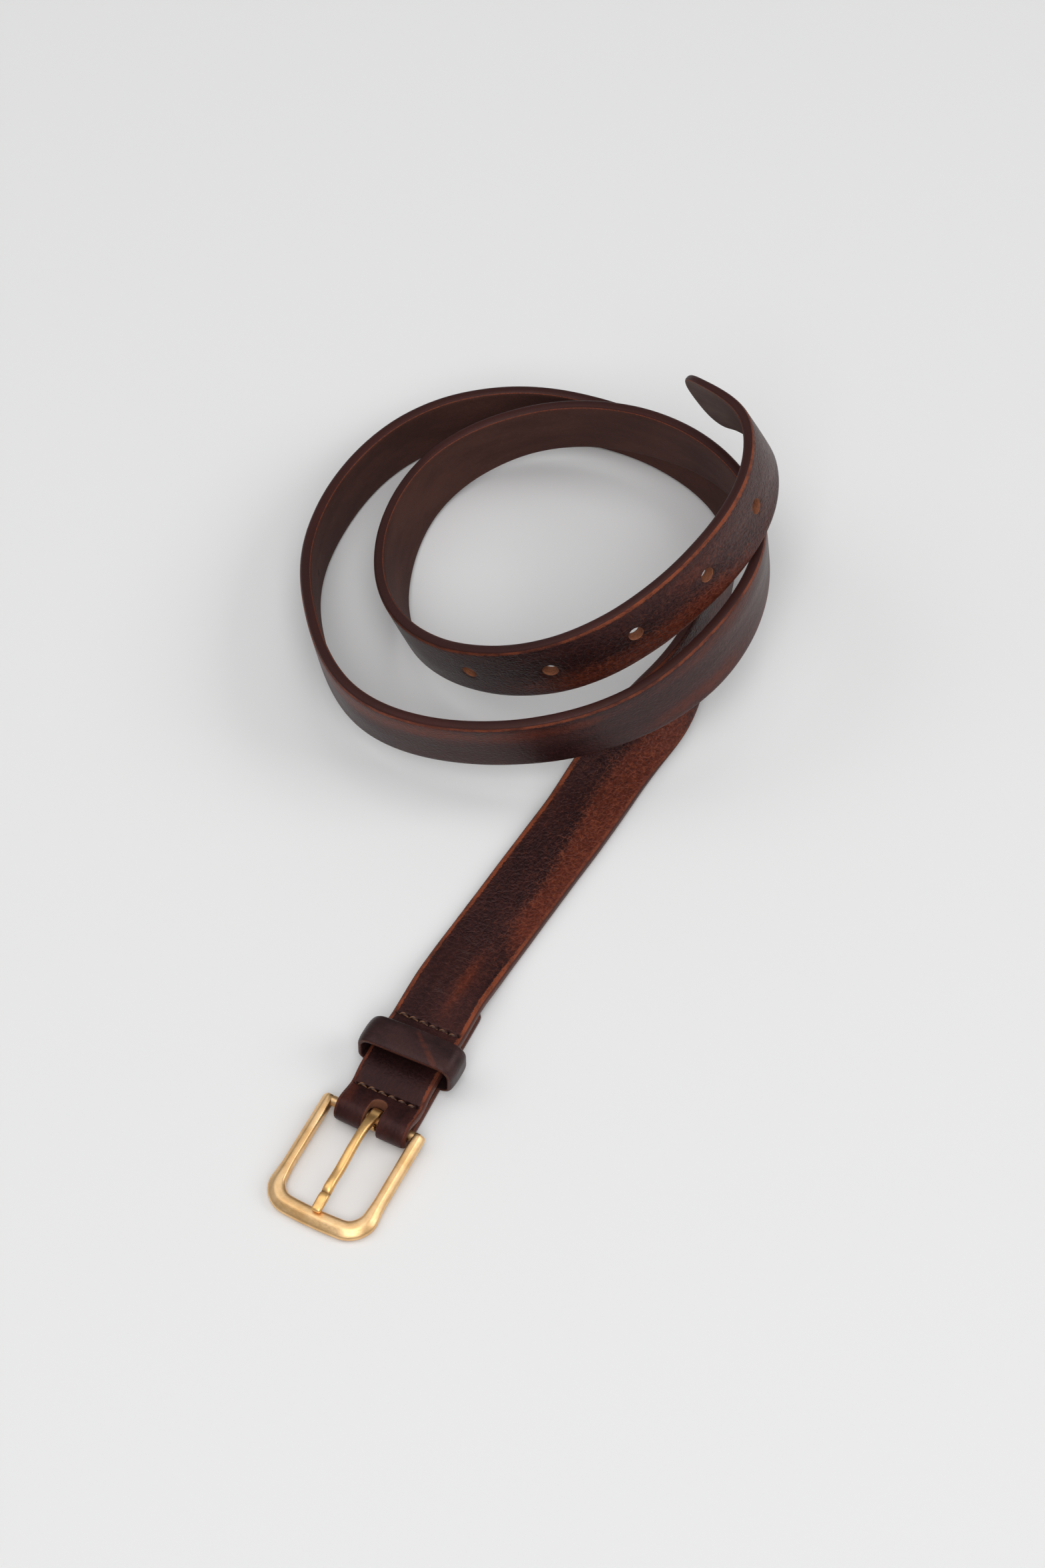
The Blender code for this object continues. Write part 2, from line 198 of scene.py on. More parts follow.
def warped(vector, scale, amount):
    # The vector pushed about by a noise of its own, so that cells and lines lose their straight sides
    noise = tree.nodes.new("ShaderNodeTexNoise")
    put(vector, noise.inputs["Vector"])
    noise.inputs["Scale"].default_value = scale
    push = tree.nodes.new("ShaderNodeVectorMath")
    push.operation = "MULTIPLY_ADD"
    tree.links.new(noise.outputs["Color"], push.inputs[0])
    push.inputs[1].default_value = (amount,) * 3
    put(vector, push.inputs[2])
    return push.outputs[0]


def bumped(height, strength, distance):
    node = tree.nodes.new("ShaderNodeBump")
    node.inputs["Strength"].default_value = strength
    node.inputs["Distance"].default_value = distance
    put(height, node.inputs["Height"])
    return node.outputs["Normal"]


def surface(shader, color, rough, height, strength, distance):
    put(color, shader.inputs["Base Color"])
    put(rough, shader.inputs["Roughness"])
    put(bumped(height, strength, distance), shader.inputs["Normal"])


def gloss(shader, level, tint):
    shader.inputs["Specular IOR Level"].default_value = level
    shader.inputs["Specular Tint"].default_value = (*tint, 1.0)


def meshPiece(name, points, faces, materials, facets=()):
    # An object of the points, in millimetres, with `facets` giving the material of each face
    mesh = bpy.data.meshes.new(name)
    mesh.from_pydata((points * mm).tolist(), [], faces.tolist())
    for finish in materials:
        mesh.materials.append(finish)
    if len(facets):
        mesh.polygons.foreach_set("material_index", np.asarray(facets, np.int32))
    piece = bpy.data.objects.new(name, mesh)
    bpy.context.scene.collection.objects.link(piece)
    return piece


def finishMesh(piece, sharp):
    # Points that coincide become one, faces turn outwards, and shading is smooth but for real corners
    shape = bmesh.new()
    shape.from_mesh(piece.data)
    bmesh.ops.remove_doubles(shape, verts=shape.verts, dist=2e-7)
    bmesh.ops.recalc_face_normals(shape, faces=shape.faces)
    shape.to_mesh(piece.data)
    shape.free()
    piece.data.shade_smooth()
    piece.data.set_sharp_from_angle(angle=radians(sharp))
    return piece


def pointValues(piece, name, values):
    layer = piece.data.attributes.new(name, "FLOAT", "POINT")
    layer.data.foreach_set("value", np.asarray(values, np.float32).ravel())


def pointVectors(piece, name, vectors):
    layer = piece.data.attributes.new(name, "FLOAT_VECTOR", "POINT")
    layer.data.foreach_set("vector", np.asarray(vectors, np.float32).ravel())


def gridFaces(rows, columns, first=0):
    # Four-sided faces of a grid of points, row after row, each row joined round
    row, column = np.arange(rows - 1)[:, None] * columns, np.arange(columns)[None, :]
    after = (column + 1) % columns
    corners = (row + column, row + after, row + columns + after, row + columns + column)
    return np.stack(corners, axis=-1).reshape(-1, 4) + first


def superCurve(angle, power):
    # A rounded square: cosine and sine raised to 2 / power, keeping their signs
    c, s = np.cos(angle), np.sin(angle)
    return np.sign(c) * np.abs(c) ** (2 / power), np.sign(s) * np.abs(s) ** (2 / power)


def unit(vectors):
    return vectors / np.linalg.norm(vectors, axis=1)[:, None]


def ease(value, start, end):
    # Smooth step from 0 at start to 1 at end: t^2 (3 - 2 t)
    t = np.clip((value - start) / (end - start), 0.0, 1.0)
    return t * t * (3 - 2 * t)


route = {
    "width": 22.0,
    "thickness": 3.4,
    "pared": 2.3,
    "tipThickness": 2.4,
    "skivedLength": 45.0,
    "barRadius": 1.5,
    "barClearance": 0.35,
    "barY": -20.0,
    "returnEnd": 26.0,
    "growth": (1.0, 7.0),  # from where to where past the fold the pared end reaches full thickness
    "levelEnd": (35.0, 60.0),  # past the fold: square across up to here, then free to follow the route
    "drift": -0.04,
    "driftEnd": 24.0,
    # centre height of the upper layer at the buckle end, as (y, z)
    "upperLayer": (
        (-18.4, 6.75), (-16.4, 5.75), (-14.4, 4.85), (-12.4, 4.45), (-10.2, 4.95), (-7.8, 5.7),
        (-4.0, 5.9), (0.0, 5.9), (4.0, 5.9), (7.4, 5.7), (9.8, 5.0), (12.4, 4.45), (16.0, 4.3),
        (21.0, 4.3), (27.0, 4.2), (33.0, 3.3), (38.0, 2.5),
    ),
    # x, y, height of the lower edge, and lean in degrees from lying grain up
    "coil": (
        (-1.5, 45, 0.2, 0), (-0.5, 60, 0.1, 0), (0.9, 80, 0.2, 0), (2.3, 100, 0.4, 0),
        (4, 125, 0, 16), (8, 145, 0, 54), (5, 181, 1, 83), (-9, 219, 0, 98), (-39, 229, 0, 86),
        (-81, 221, 0, 90), (-104, 201, 0, 88), (-113, 164, 0, 93), (-107, 135, 1.5, 95),
        (-93, 113, 5, 98), (-66, 91, 9, 101), (-19, 96, 15.5, 98), (11, 121, 21.5, 87),
        (20, 142, 24, 79), (16, 187, 25.5, 84), (-2, 207, 23.5, 77), (-38, 219, 15.5, 80),
        (-72, 211, 7, 83), (-91, 186, 1, 98), (-91, 161, 0, 108), (-72, 127, 5.5, 109),
        (-46, 114, 15.5, 104), (-14, 119, 29.5, 89), (12, 158, 45, 74), (10, 196, 50.5, 66),
        (3, 205.5, 51, 66), (-13.5, 213.5, 46.7, 70), (-20.5, 217, 42, 70.5),
    ),
}
foldRadius = route["barRadius"] + route["barClearance"] + route["pared"] / 2
barZ = foldRadius + route["pared"] / 2


def driftAt(y):
    return route["drift"] * (np.minimum(y, route["driftEnd"]) - route["barY"])


def naturalCubic(knots, samples):
    # Between two knots the curve is their straight blend plus (t^3 - t) shares of their second slopes,
    # which come from one row of equations for each inner knot
    steps = np.linalg.norm(np.diff(knots[:, :3], axis=0), axis=1)
    chord = np.concatenate([[0.0], np.cumsum(steps)])
    count = len(knots)
    slopes = np.diff(knots, axis=0) / steps[:, None]
    inner = np.arange(1, count - 1)
    system = np.eye(count)
    system[inner, inner - 1] = steps[:-1]
    system[inner, inner] = 2 * (steps[:-1] + steps[1:])
    system[inner, inner + 1] = steps[1:]
    right = np.zeros_like(knots)
    right[inner] = 6 * (slopes[1:] - slopes[:-1])
    bends = np.linalg.solve(system, right)
    at = np.linspace(0.0, chord[-1], samples)
    i = np.clip(np.searchsorted(chord, at) - 1, 0, count - 2)
    after = ((at - chord[i]) / steps[i])[:, None]
    before = 1 - after
    bend = (before**3 - before) * bends[i] + (after**3 - after) * bends[i + 1]
    return before * knots[i] + after * knots[i + 1] + bend * steps[i, None] ** 2 / 6


def routeKnots():
    # Back along the return, round the fold, forward over the upper layer and out along the coil
    returnY = np.linspace(route["returnEnd"], route["barY"], 16)
    low = np.full(16, route["pared"] / 2)
    turn = np.radians(np.arange(15, 181, 15))
    foldY = route["barY"] - foldRadius * np.sin(turn)
    upperY, upperZ = np.array(route["upperLayer"]).T
    y = np.concatenate([returnY, foldY, upperY])
    z = np.concatenate([low, barZ - foldRadius * np.cos(turn), upperZ])
    end = np.stack([driftAt(y), y, z, np.zeros_like(y)], axis=1)
    coil = np.array(route["coil"], float)
    lean = np.radians(coil[:, 3])
    coil[:, 2] += np.sin(lean) * route["width"] / 2 + np.abs(np.cos(lean)) * route["thickness"] / 2
    return np.concatenate([end, coil])


dense = naturalCubic(routeKnots(), 6000)
linePoint = dense[:, :3]
lineAlong = np.concatenate([[0.0], np.cumsum(np.linalg.norm(np.diff(linePoint, axis=0), axis=1))])
beltLength = lineAlong[-1]
lineAhead = unit(np.gradient(linePoint, lineAlong, axis=0))
foldEnd = lineAlong[np.argmax(linePoint[:, 2] > barZ + foldRadius * 0.99)]
level = unit(np.cross((0.0, 0.0, 1.0), lineAhead))
levelStop, freeStart = (foldEnd + past for past in route["levelEnd"])
free = ease(lineAlong, levelStop, freeStart)[:, None]
level = np.where(free > 0, level, 0.0) * free + np.array((-1.0, 0.0, 0.0)) * (1 - free)
lean = np.radians(dense[:, 3])[:, None]
lineAcross = np.cos(lean) * level + np.sin(lean) * np.cross(lineAhead, level)
lineAcross -= (lineAcross * lineAhead).sum(axis=1)[:, None] * lineAhead
lineAcross = unit(lineAcross)
lineGrain = np.cross(lineAhead, lineAcross)


def readLine(values, at):
    return np.stack([np.interp(at, lineAlong, values[:, k]) for k in range(3)], axis=-1)


def thicknessAt(at):
    # Pared at the fold, full from there on, and skived thinner towards the tip
    growStart, growEnd = (foldEnd + past for past in route["growth"])
    grown = (route["thickness"] - route["pared"]) * ease(at, growStart, growEnd)
    skiveStart = beltLength - route["skivedLength"]
    skived = (route["thickness"] - route["tipThickness"]) * ease(at, skiveStart, beltLength)
    return route["pared"] + grown - skived


def alongAt(y, upper=True):
    # How far along the strap the upper layer, or the return, passes over y
    onUpper, onReturn = (lineAlong > foldEnd) & (lineAlong < freeStart), lineAlong < foldEnd - 12.0
    part = onUpper if upper else onReturn
    order = np.argsort(linePoint[part, 1])
    return float(np.interp(y, linePoint[part, 1][order], lineAlong[part][order]))


def bend(along, across, height):
    # From the straight strap to where it lies: out from the centre line by `across` and `height`
    return (
        readLine(linePoint, along)
        + readLine(lineAcross, along) * across[..., None]
        + readLine(lineGrain, along) * height[..., None]
    )


print(f"route of {beltLength:.0f} mm worked out")


strapLook = {
    "dark": (0.0185, 0.0068, 0.0070),
    "brown": (0.038, 0.0120, 0.0105),
    "red": (0.092, 0.0185, 0.0088),
    # painted sheen: a grey of reflected light, also laid thinly on the wrinkle ripples
    "grey": (0.082, 0.052, 0.048),
    "black": (0.0130, 0.0042, 0.0042),
    "rust": (0.215, 0.052, 0.021),
    "edge": (0.029, 0.0105, 0.0090),
    "redEdge": (0.088, 0.026, 0.0165),
    "flesh": (0.062, 0.0255, 0.0195),
    "fleshGrey": (0.115, 0.080, 0.070),
    "crack": (0.155, 0.042, 0.021),
    "raw": (0.30, 0.105, 0.042),
    "rawDark": (0.13, 0.04, 0.018),
    "slotRust": (0.135, 0.046, 0.021),
    # painted shade of a slit
    "slitShade": (0.006, 0.003, 0.002),
    # painted shade: near black for the inside of the awl holes
    "awlShadeTone": (0.004, 0.002, 0.0015),
    "pebble": 860.0,  # cells per metre
    "crease": 420.0,
    "slitPlace": (475.0, -2.0, 0.55, 1.7),
    # walk round the section, from the grain's middle: where each zone fades in or out
    "rustStart": 10.12,
    "rustRagged": 1.3,
    "rustWorn": 0.85,
    "rustEnd": (10.50, 10.80, 1.0, 0.0),
    "edgeStart": (10.55, 10.95),
    "edgeEnd": (13.3, 13.55, 1.0, 0.0),
    "thinStart": (13.44, 13.58),
    "thinEnd": (13.72, 13.90, 1.0, 0.0),
    "fleshStart": (13.45, 13.65),
    "grainEnd": (10.4, 11.0, 1.0, 0.0),
}


def slitShade(where, along, across, halfAlong, halfAcross):
    # 1 inside a small ellipse at one place on the strap, 0 outside it: where the painted shade of a slit
    # goes
    parts = tree.nodes.new("ShaderNodeSeparateXYZ")
    put(where, parts.inputs[0])
    u = maths("DIVIDE", minus(parts.outputs[0], along * mm), halfAlong * mm)
    v = maths("DIVIDE", minus(parts.outputs[1], across * mm), halfAcross * mm)
    far = plus(times(u, u), times(v, v))
    return fade(far, 0.5, 1.3, 1.0, 0.0)


def grainLeather():
    # Pull-up leather: dark and brown clouds, red where bent and rubbed, dark pebbles in a pale net,
    # rust lines at the two grain-side corners, burnished edges and a plain flesh side, with painted sheen
    # in grey patches and painted shade in the awl holes and a slit
    made, shader = newMaterial("pullUpLeather")
    look = strapLook
    where = attribute("unrolled", "Vector")
    around = attribute("around")
    red, grey = attribute("redWash"), attribute("paintedSheen")
    pebbly, worn, wrinkled = attribute("pebbly"), attribute("rubbed"), attribute("wrinkled")
    slow = cloud(stretched(where, (0.35, 1.0, 1.0)), 90.0, 5.0, 0.6)
    fine = cloud(where, 900.0, 4.0, 0.6)
    streak = cloud(stretched(where, (0.12, 1.0, 1.0)), 260.0, 4.0, 0.55)

    mixed = plus(times(slow, 0.65), times(streak, 0.35))
    color = blend(fade(mixed, 0.40, 0.62), look["dark"], look["brown"])
    uneven = times(minus(slow, 0.5), 1.3)
    redShare = times(fade(plus(red, uneven), 0.18, 0.85), fade(red, 0.02, 0.25))
    color = blend(redShare, color, look["red"])
    # painted sheen: grey reflected light laid on in patches along the strap
    greyShare = times(grey, fade(streak, 0.3, 0.7, 0.35, 0.85))
    color = blend(greyShare, color, look["grey"])
    color = blend(times(attribute("blackened"), 0.85), color, look["black"])

    # dark pebbles in a paler net, and longer broken crack lines
    pebble = cells(warped(stretched(where, (0.72, 1.0, 1.0)), 700.0, 0.0007), look["pebble"])
    creases = cells(warped(where, 300.0, 0.0022), look["crease"])
    net = times(fade(pebble, 0.02, 0.12, 1.0, 0.0), fade(fine, 0.40, 0.60))
    centre = times(fade(pebble, 0.14, 0.34), pebbly)
    color = blend(times(centre, 0.44), color, look["dark"])
    netShare = times(times(net, pebbly), fade(red, 0.0, 0.7, 0.12, 0.66))
    color = blend(netShare, color, look["crack"])
    crackLine = times(fade(creases, 0.0, 0.045, 1.0, 0.0), fade(fine, 0.45, 0.62))
    crackShare = times(times(crackLine, pebbly), fade(red, 0.0, 0.5, 0.25, 0.6))
    color = blend(crackShare, color, look["crack"])
    ripple = cloud(stretched(where, (1.0, 0.16, 1.0)), 1100.0, 3.0, 0.6)
    rippleShare = times(fade(ripple, 0.56, 0.64), wrinkled)
    color = blend(times(rippleShare, 0.35), color, look["grey"])
    color = blend(1.0, color, speckColor(fade(fine, 0.3, 0.7, 0.80, 1.20)), "MULTIPLY")

    # rust at the grain-side corner, its width and strength wandering along the strap
    wandering = cloud(stretched(where, (0.5, 1.0, 1.0)), 420.0, 5.0, 0.7)
    ragged = cloud(where, 1500.0, 3.0, 0.7)
    inside = minus(look["rustStart"], times(minus(ragged, 0.5), look["rustRagged"]))
    inside = minus(inside, times(worn, look["rustWorn"]))
    outOf = fade(minus(around, inside), -0.10, 0.14)
    rustBand = times(outOf, fade(around, *look["rustEnd"]))
    broken = times(fade(wandering, 0.40, 0.60), 0.34)
    rustPower = plus(broken, times(worn, fade(wandering, 0.3, 0.6, 0.45, 0.85)), True)
    color = blend(times(rustBand, rustPower), color, look["rust"])

    # burnished edge, then the flesh-side corner with its thin line, then the flesh side
    edgeShare = times(fade(around, *look["edgeStart"]), fade(around, *look["edgeEnd"]))
    edgeColor = blend(fade(streak, 0.35, 0.7), look["edge"], look["brown"])
    redEdge = times(attribute("redEdge"), fade(streak, 0.3, 0.7, 0.6, 1.0))
    color = blend(edgeShare, color, blend(redEdge, edgeColor, look["redEdge"]))
    fleshShare = fade(around, *look["fleshStart"])
    fiber = cloud(stretched(where, (0.55, 1.0, 1.0)), 2600.0, 4.0, 0.7)
    fleshTip = blend(attribute("tipGrey"), look["flesh"], look["fleshGrey"])
    fleshColor = blend(1.0, fleshTip, speckColor(fade(fiber, 0.25, 0.75, 0.74, 1.26)), "MULTIPLY")
    cloudy = speckColor(fade(slow, 0.35, 0.65, 0.82, 1.2))
    fleshColor = blend(1.0, fleshColor, cloudy, "MULTIPLY")
    # painted shade: a near black ellipse for the slit on the flesh side
    fleshColor = blend(slitShade(where, *look["slitPlace"]), fleshColor, look["slitShade"])
    color = blend(fleshShare, color, fleshColor)
    thinLine = times(fade(around, *look["thinStart"]), fade(around, *look["thinEnd"]))
    thinPower = fade(ragged, 0.36, 0.62, 0.12, 0.80)
    color = blend(times(thinLine, thinPower), color, look["rust"])
    rim = plus(attribute("cutRim"), times(minus(ragged, 0.5), 0.4))
    color = blend(fade(rim, 0.40, 0.75), color, look["slotRust"])
    # painted shade in and round the awl holes
    color = blend(attribute("paintedAwlShade"), color, look["awlShadeTone"])

    grainRough = plus(fade(slow, 0.3, 0.7, 0.36, 0.46), times(net, 0.06))
    grainRough = plus(grainRough, times(rustBand, 0.15))
    rough = floatMix(edgeShare, grainRough, fade(fine, 0.3, 0.7, 0.38, 0.52))
    rough = floatMix(fleshShare, rough, fade(fiber, 0.3, 0.7, 0.68, 0.86))
    gloss(shader, 0.27, (1.0, 0.62, 0.60))

    relief = plus(times(pebbly, 0.85), 0.15)
    pebbleHeight = times(fade(pebble, 0.0, 0.42), relief)
    groove = times(fade(creases, 0.0, 0.09, 1.0, 0.0), pebbly)
    pebbleHeight = minus(pebbleHeight, times(groove, 0.9))
    pebbleHeight = plus(pebbleHeight, times(rippleShare, 0.7))
    onGrain = fade(around, *look["grainEnd"])
    height = plus(times(pebbleHeight, onGrain), times(fine, 0.35))
    height = plus(height, times(times(fiber, fleshShare), 0.9))
    height = minus(height, times(rustBand, ragged))
    surface(shader, color, rough, height, 0.75, 0.00018)
    return made


def speckColor(value):
    # A grey of the value, for multiplying a colour
    node = tree.nodes.new("ShaderNodeCombineColor")
    for socket in node.inputs:
        put(value, socket)
    return node.outputs[0]


def floatMix(share, a, b):
    node = tree.nodes.new("ShaderNodeMix")
    put(share, node.inputs[0])
    put(a, node.inputs[2])
    put(b, node.inputs[3])
    return node.outputs[0]


def rawLeather():
    # Cut fibres inside a punched hole: tan, rough, with bands along the strap's layers
    made, shader = newMaterial("cutLeather")
    where = attribute("unrolled", "Vector")
    layers = cloud(stretched(where, (0.6, 0.6, 2.4)), 1500.0, 4.0, 0.7)
    color = blend(fade(layers, 0.3, 0.7), strapLook["rawDark"], strapLook["raw"])
    color = blend(fade(attribute("cutRim"), 0.6, 0.9), color, strapLook["slotRust"])
    surface(shader, color, fade(layers, 0.3, 0.7, 0.75, 0.9), layers, 0.6, 0.0002)
    return made


strapShape = {
    "flatHalf": 9.15,  # the flat of each side, out from the centre
    "edgeReach": 1.85,  # from there to the outermost edge
    "edgePower": 3.0,
    "columnStep": 0.7625,  # a quarter of the stitch pitch
    "halfColumns": 12,  # columns of points each side of the middle one
    "edgePoints": 13,
    "rowSpacing": (1.75, 0.62, 0.27),  # in general, near a hole, and at the stitches
    "closeUp": (4.0, 6.0, 1.3),  # how far closer rows go round the slot, a hole, and a stitch row
    "crown": 0.12,
    "flatEnd": 10.4,  # how far out the crown and the dents go
    "lowest": -0.02,
    "tipGrey": (34.0, 8.0),  # back from the tip
    "tipLength": 11.0,
    "tipPower": 2.8,
    "startLength": 3.2,
    "startPower": 6.0,
    # radius, margin of the patch, lip, and how rusty the lip, its edge and the wall are
    "holeCut": (2.2, 4.2, 0.30, (0.0, 0.1, 0.5)),
    "slotCut": (2.2, 4.4, 0.34, (0.2, 0.8, 1.0)),
    "sink": (0.22, 0.8),  # depth and width of the dent round a hole
    "holePitch": 26.2,
    "lastHoleToTip": 55.5,
    "holeCount": 5,
    "slotEnd": -15.6,
    "rowDistance": 12.65,
    "stitchCount": 7,
    "stitchPitch": 3.05,
    "awlDepth": 1.1,
    "awlSpread": 0.52,
    "awlShade": 0.86,
    "trough": (0.28, 0.55),  # share of the awl's depth, and width, of the dent between its holes
    # each patch: along, across, half length, half width, strength
    "redPatches": (
        (172, -6.5, 44, 4.5, 1.0), (196, -5.0, 26, 6.0, 0.75), (148, -8.5, 26, 2.6, 0.7),
        (106, -2.2, 13, 2.0, 0.55), (150, 9.6, 60, 1.2, 0.35), (505, 4.5, 42, 4.0, 0.55),
        (556, 6.5, 46, 3.2, 0.6), (640, -7.0, 40, 3.5, 0.45), (972, -6.5, 30, 4.0, 0.7),
        (1004, -7.5, 32, 4.0, 0.75), (1012, 4.0, 20, 4.0, 0.35), (60, 9.0, 10, 2.4, 0.55),
        (57, 3.0, 5, 7.0, 0.22), (640, 6.5, 60, 3.0, 0.45), (700, 9.0, 40, 1.6, 0.5),
        (905, 8.0, 30, 2.2, 0.35), (260, 0.0, 50, 8.0, 0.35), (700, -9.0, 30, 2.0, 0.5),
    ),
    # patches of painted sheen, where the strap shows reflected light
    "sheenPatches": (
        (690, 0.0, 48, 7.0, 0.85), (658, 2.5, 30, 4.0, 0.45), (1062, 0.5, 30, 9.5, 1.2),
        (1034, 3.0, 18, 6.0, 0.45), (880, -2.0, 18, 5.0, 0.25), (440, 0.0, 60, 9.0, 0.3),
    ),
    "pebblyPatches": (
        (180, 0.0, 60, 14.0, 1.0), (980, 0.0, 62, 14.0, 1.0), (120, 0.0, 40, 14.0, 0.45),
        (1060, 0.0, 46, 14.0, 0.75), (600, 0.0, 90, 14.0, 0.2), (240, 0.0, 60, 14.0, 0.6),
    ),
    "blackPatches": (
        (70, 0.5, 9.5, 10.0, 1.4), (205, 1.5, 26, 3.2, 0.8), (168, 2.0, 30, 3.5, 0.5),
        (100, 5.5, 14, 3.0, 0.45), (590, -3.0, 36, 5.0, 0.75), (950, 2.0, 34, 6.0, 0.7),
        (925, -5.0, 26, 5.0, 0.65), (985, -1.0, 16, 4.0, 0.6),
    ),
    "wrinklePatches": ((119, 0.5, 9, 5.5, 1.0), (101, 3.0, 4, 5.0, 0.6)),
    # where the grain-side corner is rubbed to rust: along, half length, strength, for each side
    "rubbedPlus": (
        (640, 62, 0.5), (530, 60, 0.5), (930, 60, 0.45), (1010, 34, 0.7), (1048, 26, 0.6),
        (160, 62, 0.8), (88, 22, 0.6), (700, 30, 0.3), (180, 45, 0.5),
    ),
    "rubbedMinus": ((185, 40, 0.25), (92, 30, 0.75), (700, 60, 0.25), (1000, 80, 0.2), (120, 20, 0.4)),
    "redEdges": ((40, 40, 0.95), (110, 40, 0.5), (160, 70, 0.25)),
}


def patches(listed, along, across):
    # Sum of bell shapes, each exp(-(distance / half size)^2), topped at 1
    total = np.zeros_like(along)
    for s, v, longHalf, wideHalf, strength in listed:
        total += strength * np.exp(-(((along - s) / longHalf) ** 2) - ((across - v) / wideHalf) ** 2)
    return np.clip(total, 0.0, 1.0)


def wornSpans(listed, along):
    total = np.zeros_like(along)
    for s, longHalf, strength in listed:
        total += strength * np.exp(-(((along - s) / longHalf) ** 4))
    return np.clip(total, 0.0, 1.0)


def wander(along, size, count=7, longest=160.0, shortest=18.0):
    # Sum of sines of random phase: a slow unevenness along the strap
    lengths = np.geomspace(longest, shortest, count)
    phases = rng.uniform(0, 2 * pi, count)
    waves = np.sin(2 * pi * along[..., None] / lengths + phases) / np.arange(1, count + 1) ** 0.5
    return size * waves.sum(axis=-1) / 2


def strapColumns(shape):
    # Round the section from the grain's minus side: share across, reach outwards, share of height, side
    # and walk
    most = shape["halfColumns"]
    flat = np.arange(-most, most + 1) * shape["columnStep"] / shape["flatHalf"]
    noReach, full, ends = np.zeros(len(flat)), np.ones(len(flat)), np.ones(shape["edgePoints"])
    turn = np.radians(np.linspace(90, -90, shape["edgePoints"] + 2)[1:-1])
    reach, high = superCurve(turn, shape["edgePower"])
    reach = reach * shape["edgeReach"]
    steps = np.hypot(np.diff(np.r_[0, reach, 0]), np.diff(np.r_[1, high, -1]) * route["thickness"] / 2)
    walk = shape["flatHalf"] + np.cumsum(steps)
    share = np.r_[flat, ends, flat[::-1], -ends]
    reachAll = np.r_[noReach, reach, noReach, reach[::-1]]
    highAll = np.r_[full, high, -full, high[::-1]]
    flatWalk = np.abs(flat) * shape["flatHalf"]
    walkAll = np.r_[flatWalk, walk[:-1], walk[-1] + shape["flatHalf"] - flatWalk, walk[:-1][::-1]]
    return share, reachAll, highAll, np.sign(share), walkAll


def strapRows(shape, holes, slot, stitchRows):
    # Rows close together where something happens, worked out by adding up 1 / spacing along the strap
    fine = np.linspace(shape["startLength"], beltLength - shape["tipLength"], 20000)
    wide, close, closest = shape["rowSpacing"]
    spacing = np.full_like(fine, wide)
    roundSlot, roundHole, roundRow = shape["closeUp"]
    near = [(slot[0] - roundSlot, slot[1] + roundSlot, close)]
    near += [(s - roundHole, s + roundHole, close) for s in holes]
    near += [(s - roundRow, s + roundRow, closest) for s in stitchRows]
    for low, high, step in near:
        away = np.maximum(np.maximum(low - fine, fine - high), 0.0)
        spacing = np.minimum(spacing, step + away * 0.25)
    added = np.concatenate([[0.0], np.cumsum(np.diff(fine) / ((spacing[1:] + spacing[:-1]) / 2))])
    return np.interp(np.linspace(0, added[-1], int(added[-1]) + 1), added, fine)


def roundedEnd(centre, length, half, power, steps, outwards):
    # Quarter of a rounded box from its side to its nose, with the direction square to it
    angle = np.radians(np.linspace(0, 90, steps + 1)[1:])
    t, h = np.sin(angle) ** (2 / power), np.cos(angle) ** (2 / power)
    h[-1], t[-1] = 0.0, 1.0
    alongNormal, acrossNormal = t ** (power - 1) / length, h ** (power - 1) / half
    size = np.hypot(alongNormal, acrossNormal)
    normal = (outwards * alongNormal / size, acrossNormal / size)
    rows = np.stack([centre + outwards * length * t, half * h, *normal], axis=1)
    return rows if outwards > 0 else rows[::-1]


def cutLevels(cut, first, last, outS, outV, wholeWalk):
    # Rings in from a patch's border to the rim, through the wall and out over the flesh side. The rim is
    # the nearest point of the cut's own line plus its radius. Each: along, across, height, walk, rust
    radius, _, lip, (lipRim, edgeRim, wallRim) = cut
    spine = np.clip(outS, first, last)
    ds, dv = outS - spine, outV
    size = np.hypot(ds, dv)
    ds, dv = ds / size, dv / size
    rimS, rimV = spine + ds * radius, dv * radius
    lipS, lipV = rimS + ds * lip, rimV + dv * lip
    fullHigh = thicknessAt(rimS) / 2
    inwards = (0.3, 0.55, 0.75, 0.9)
    rings = [(outS + (lipS - outS) * t, outV + (lipV - outV) * t, 0.0, 0.0) for t in inwards]
    rings.append((lipS, lipV, 0.0, lipRim))
    rings.append((rimS + ds * lip * 0.35, rimV + dv * lip * 0.35, -0.12, edgeRim))
    rings.append((rimS, rimV, -lip, wallRim))
    levels = [(s, v, 1.0 + drop / fullHigh, np.abs(v), rust) for s, v, drop, rust in rings]
    levels += [(rimS, rimV, deep, np.abs(rimV), wallRim) for deep in (0.33, -0.33)]
    for s, v, drop, rust in rings[::-1]:
        levels.append((s, v, -1.0 - drop / fullHigh, wholeWalk - np.abs(v), rust))
    return [np.stack(np.broadcast_arrays(*level)) for level in levels], len(rings)


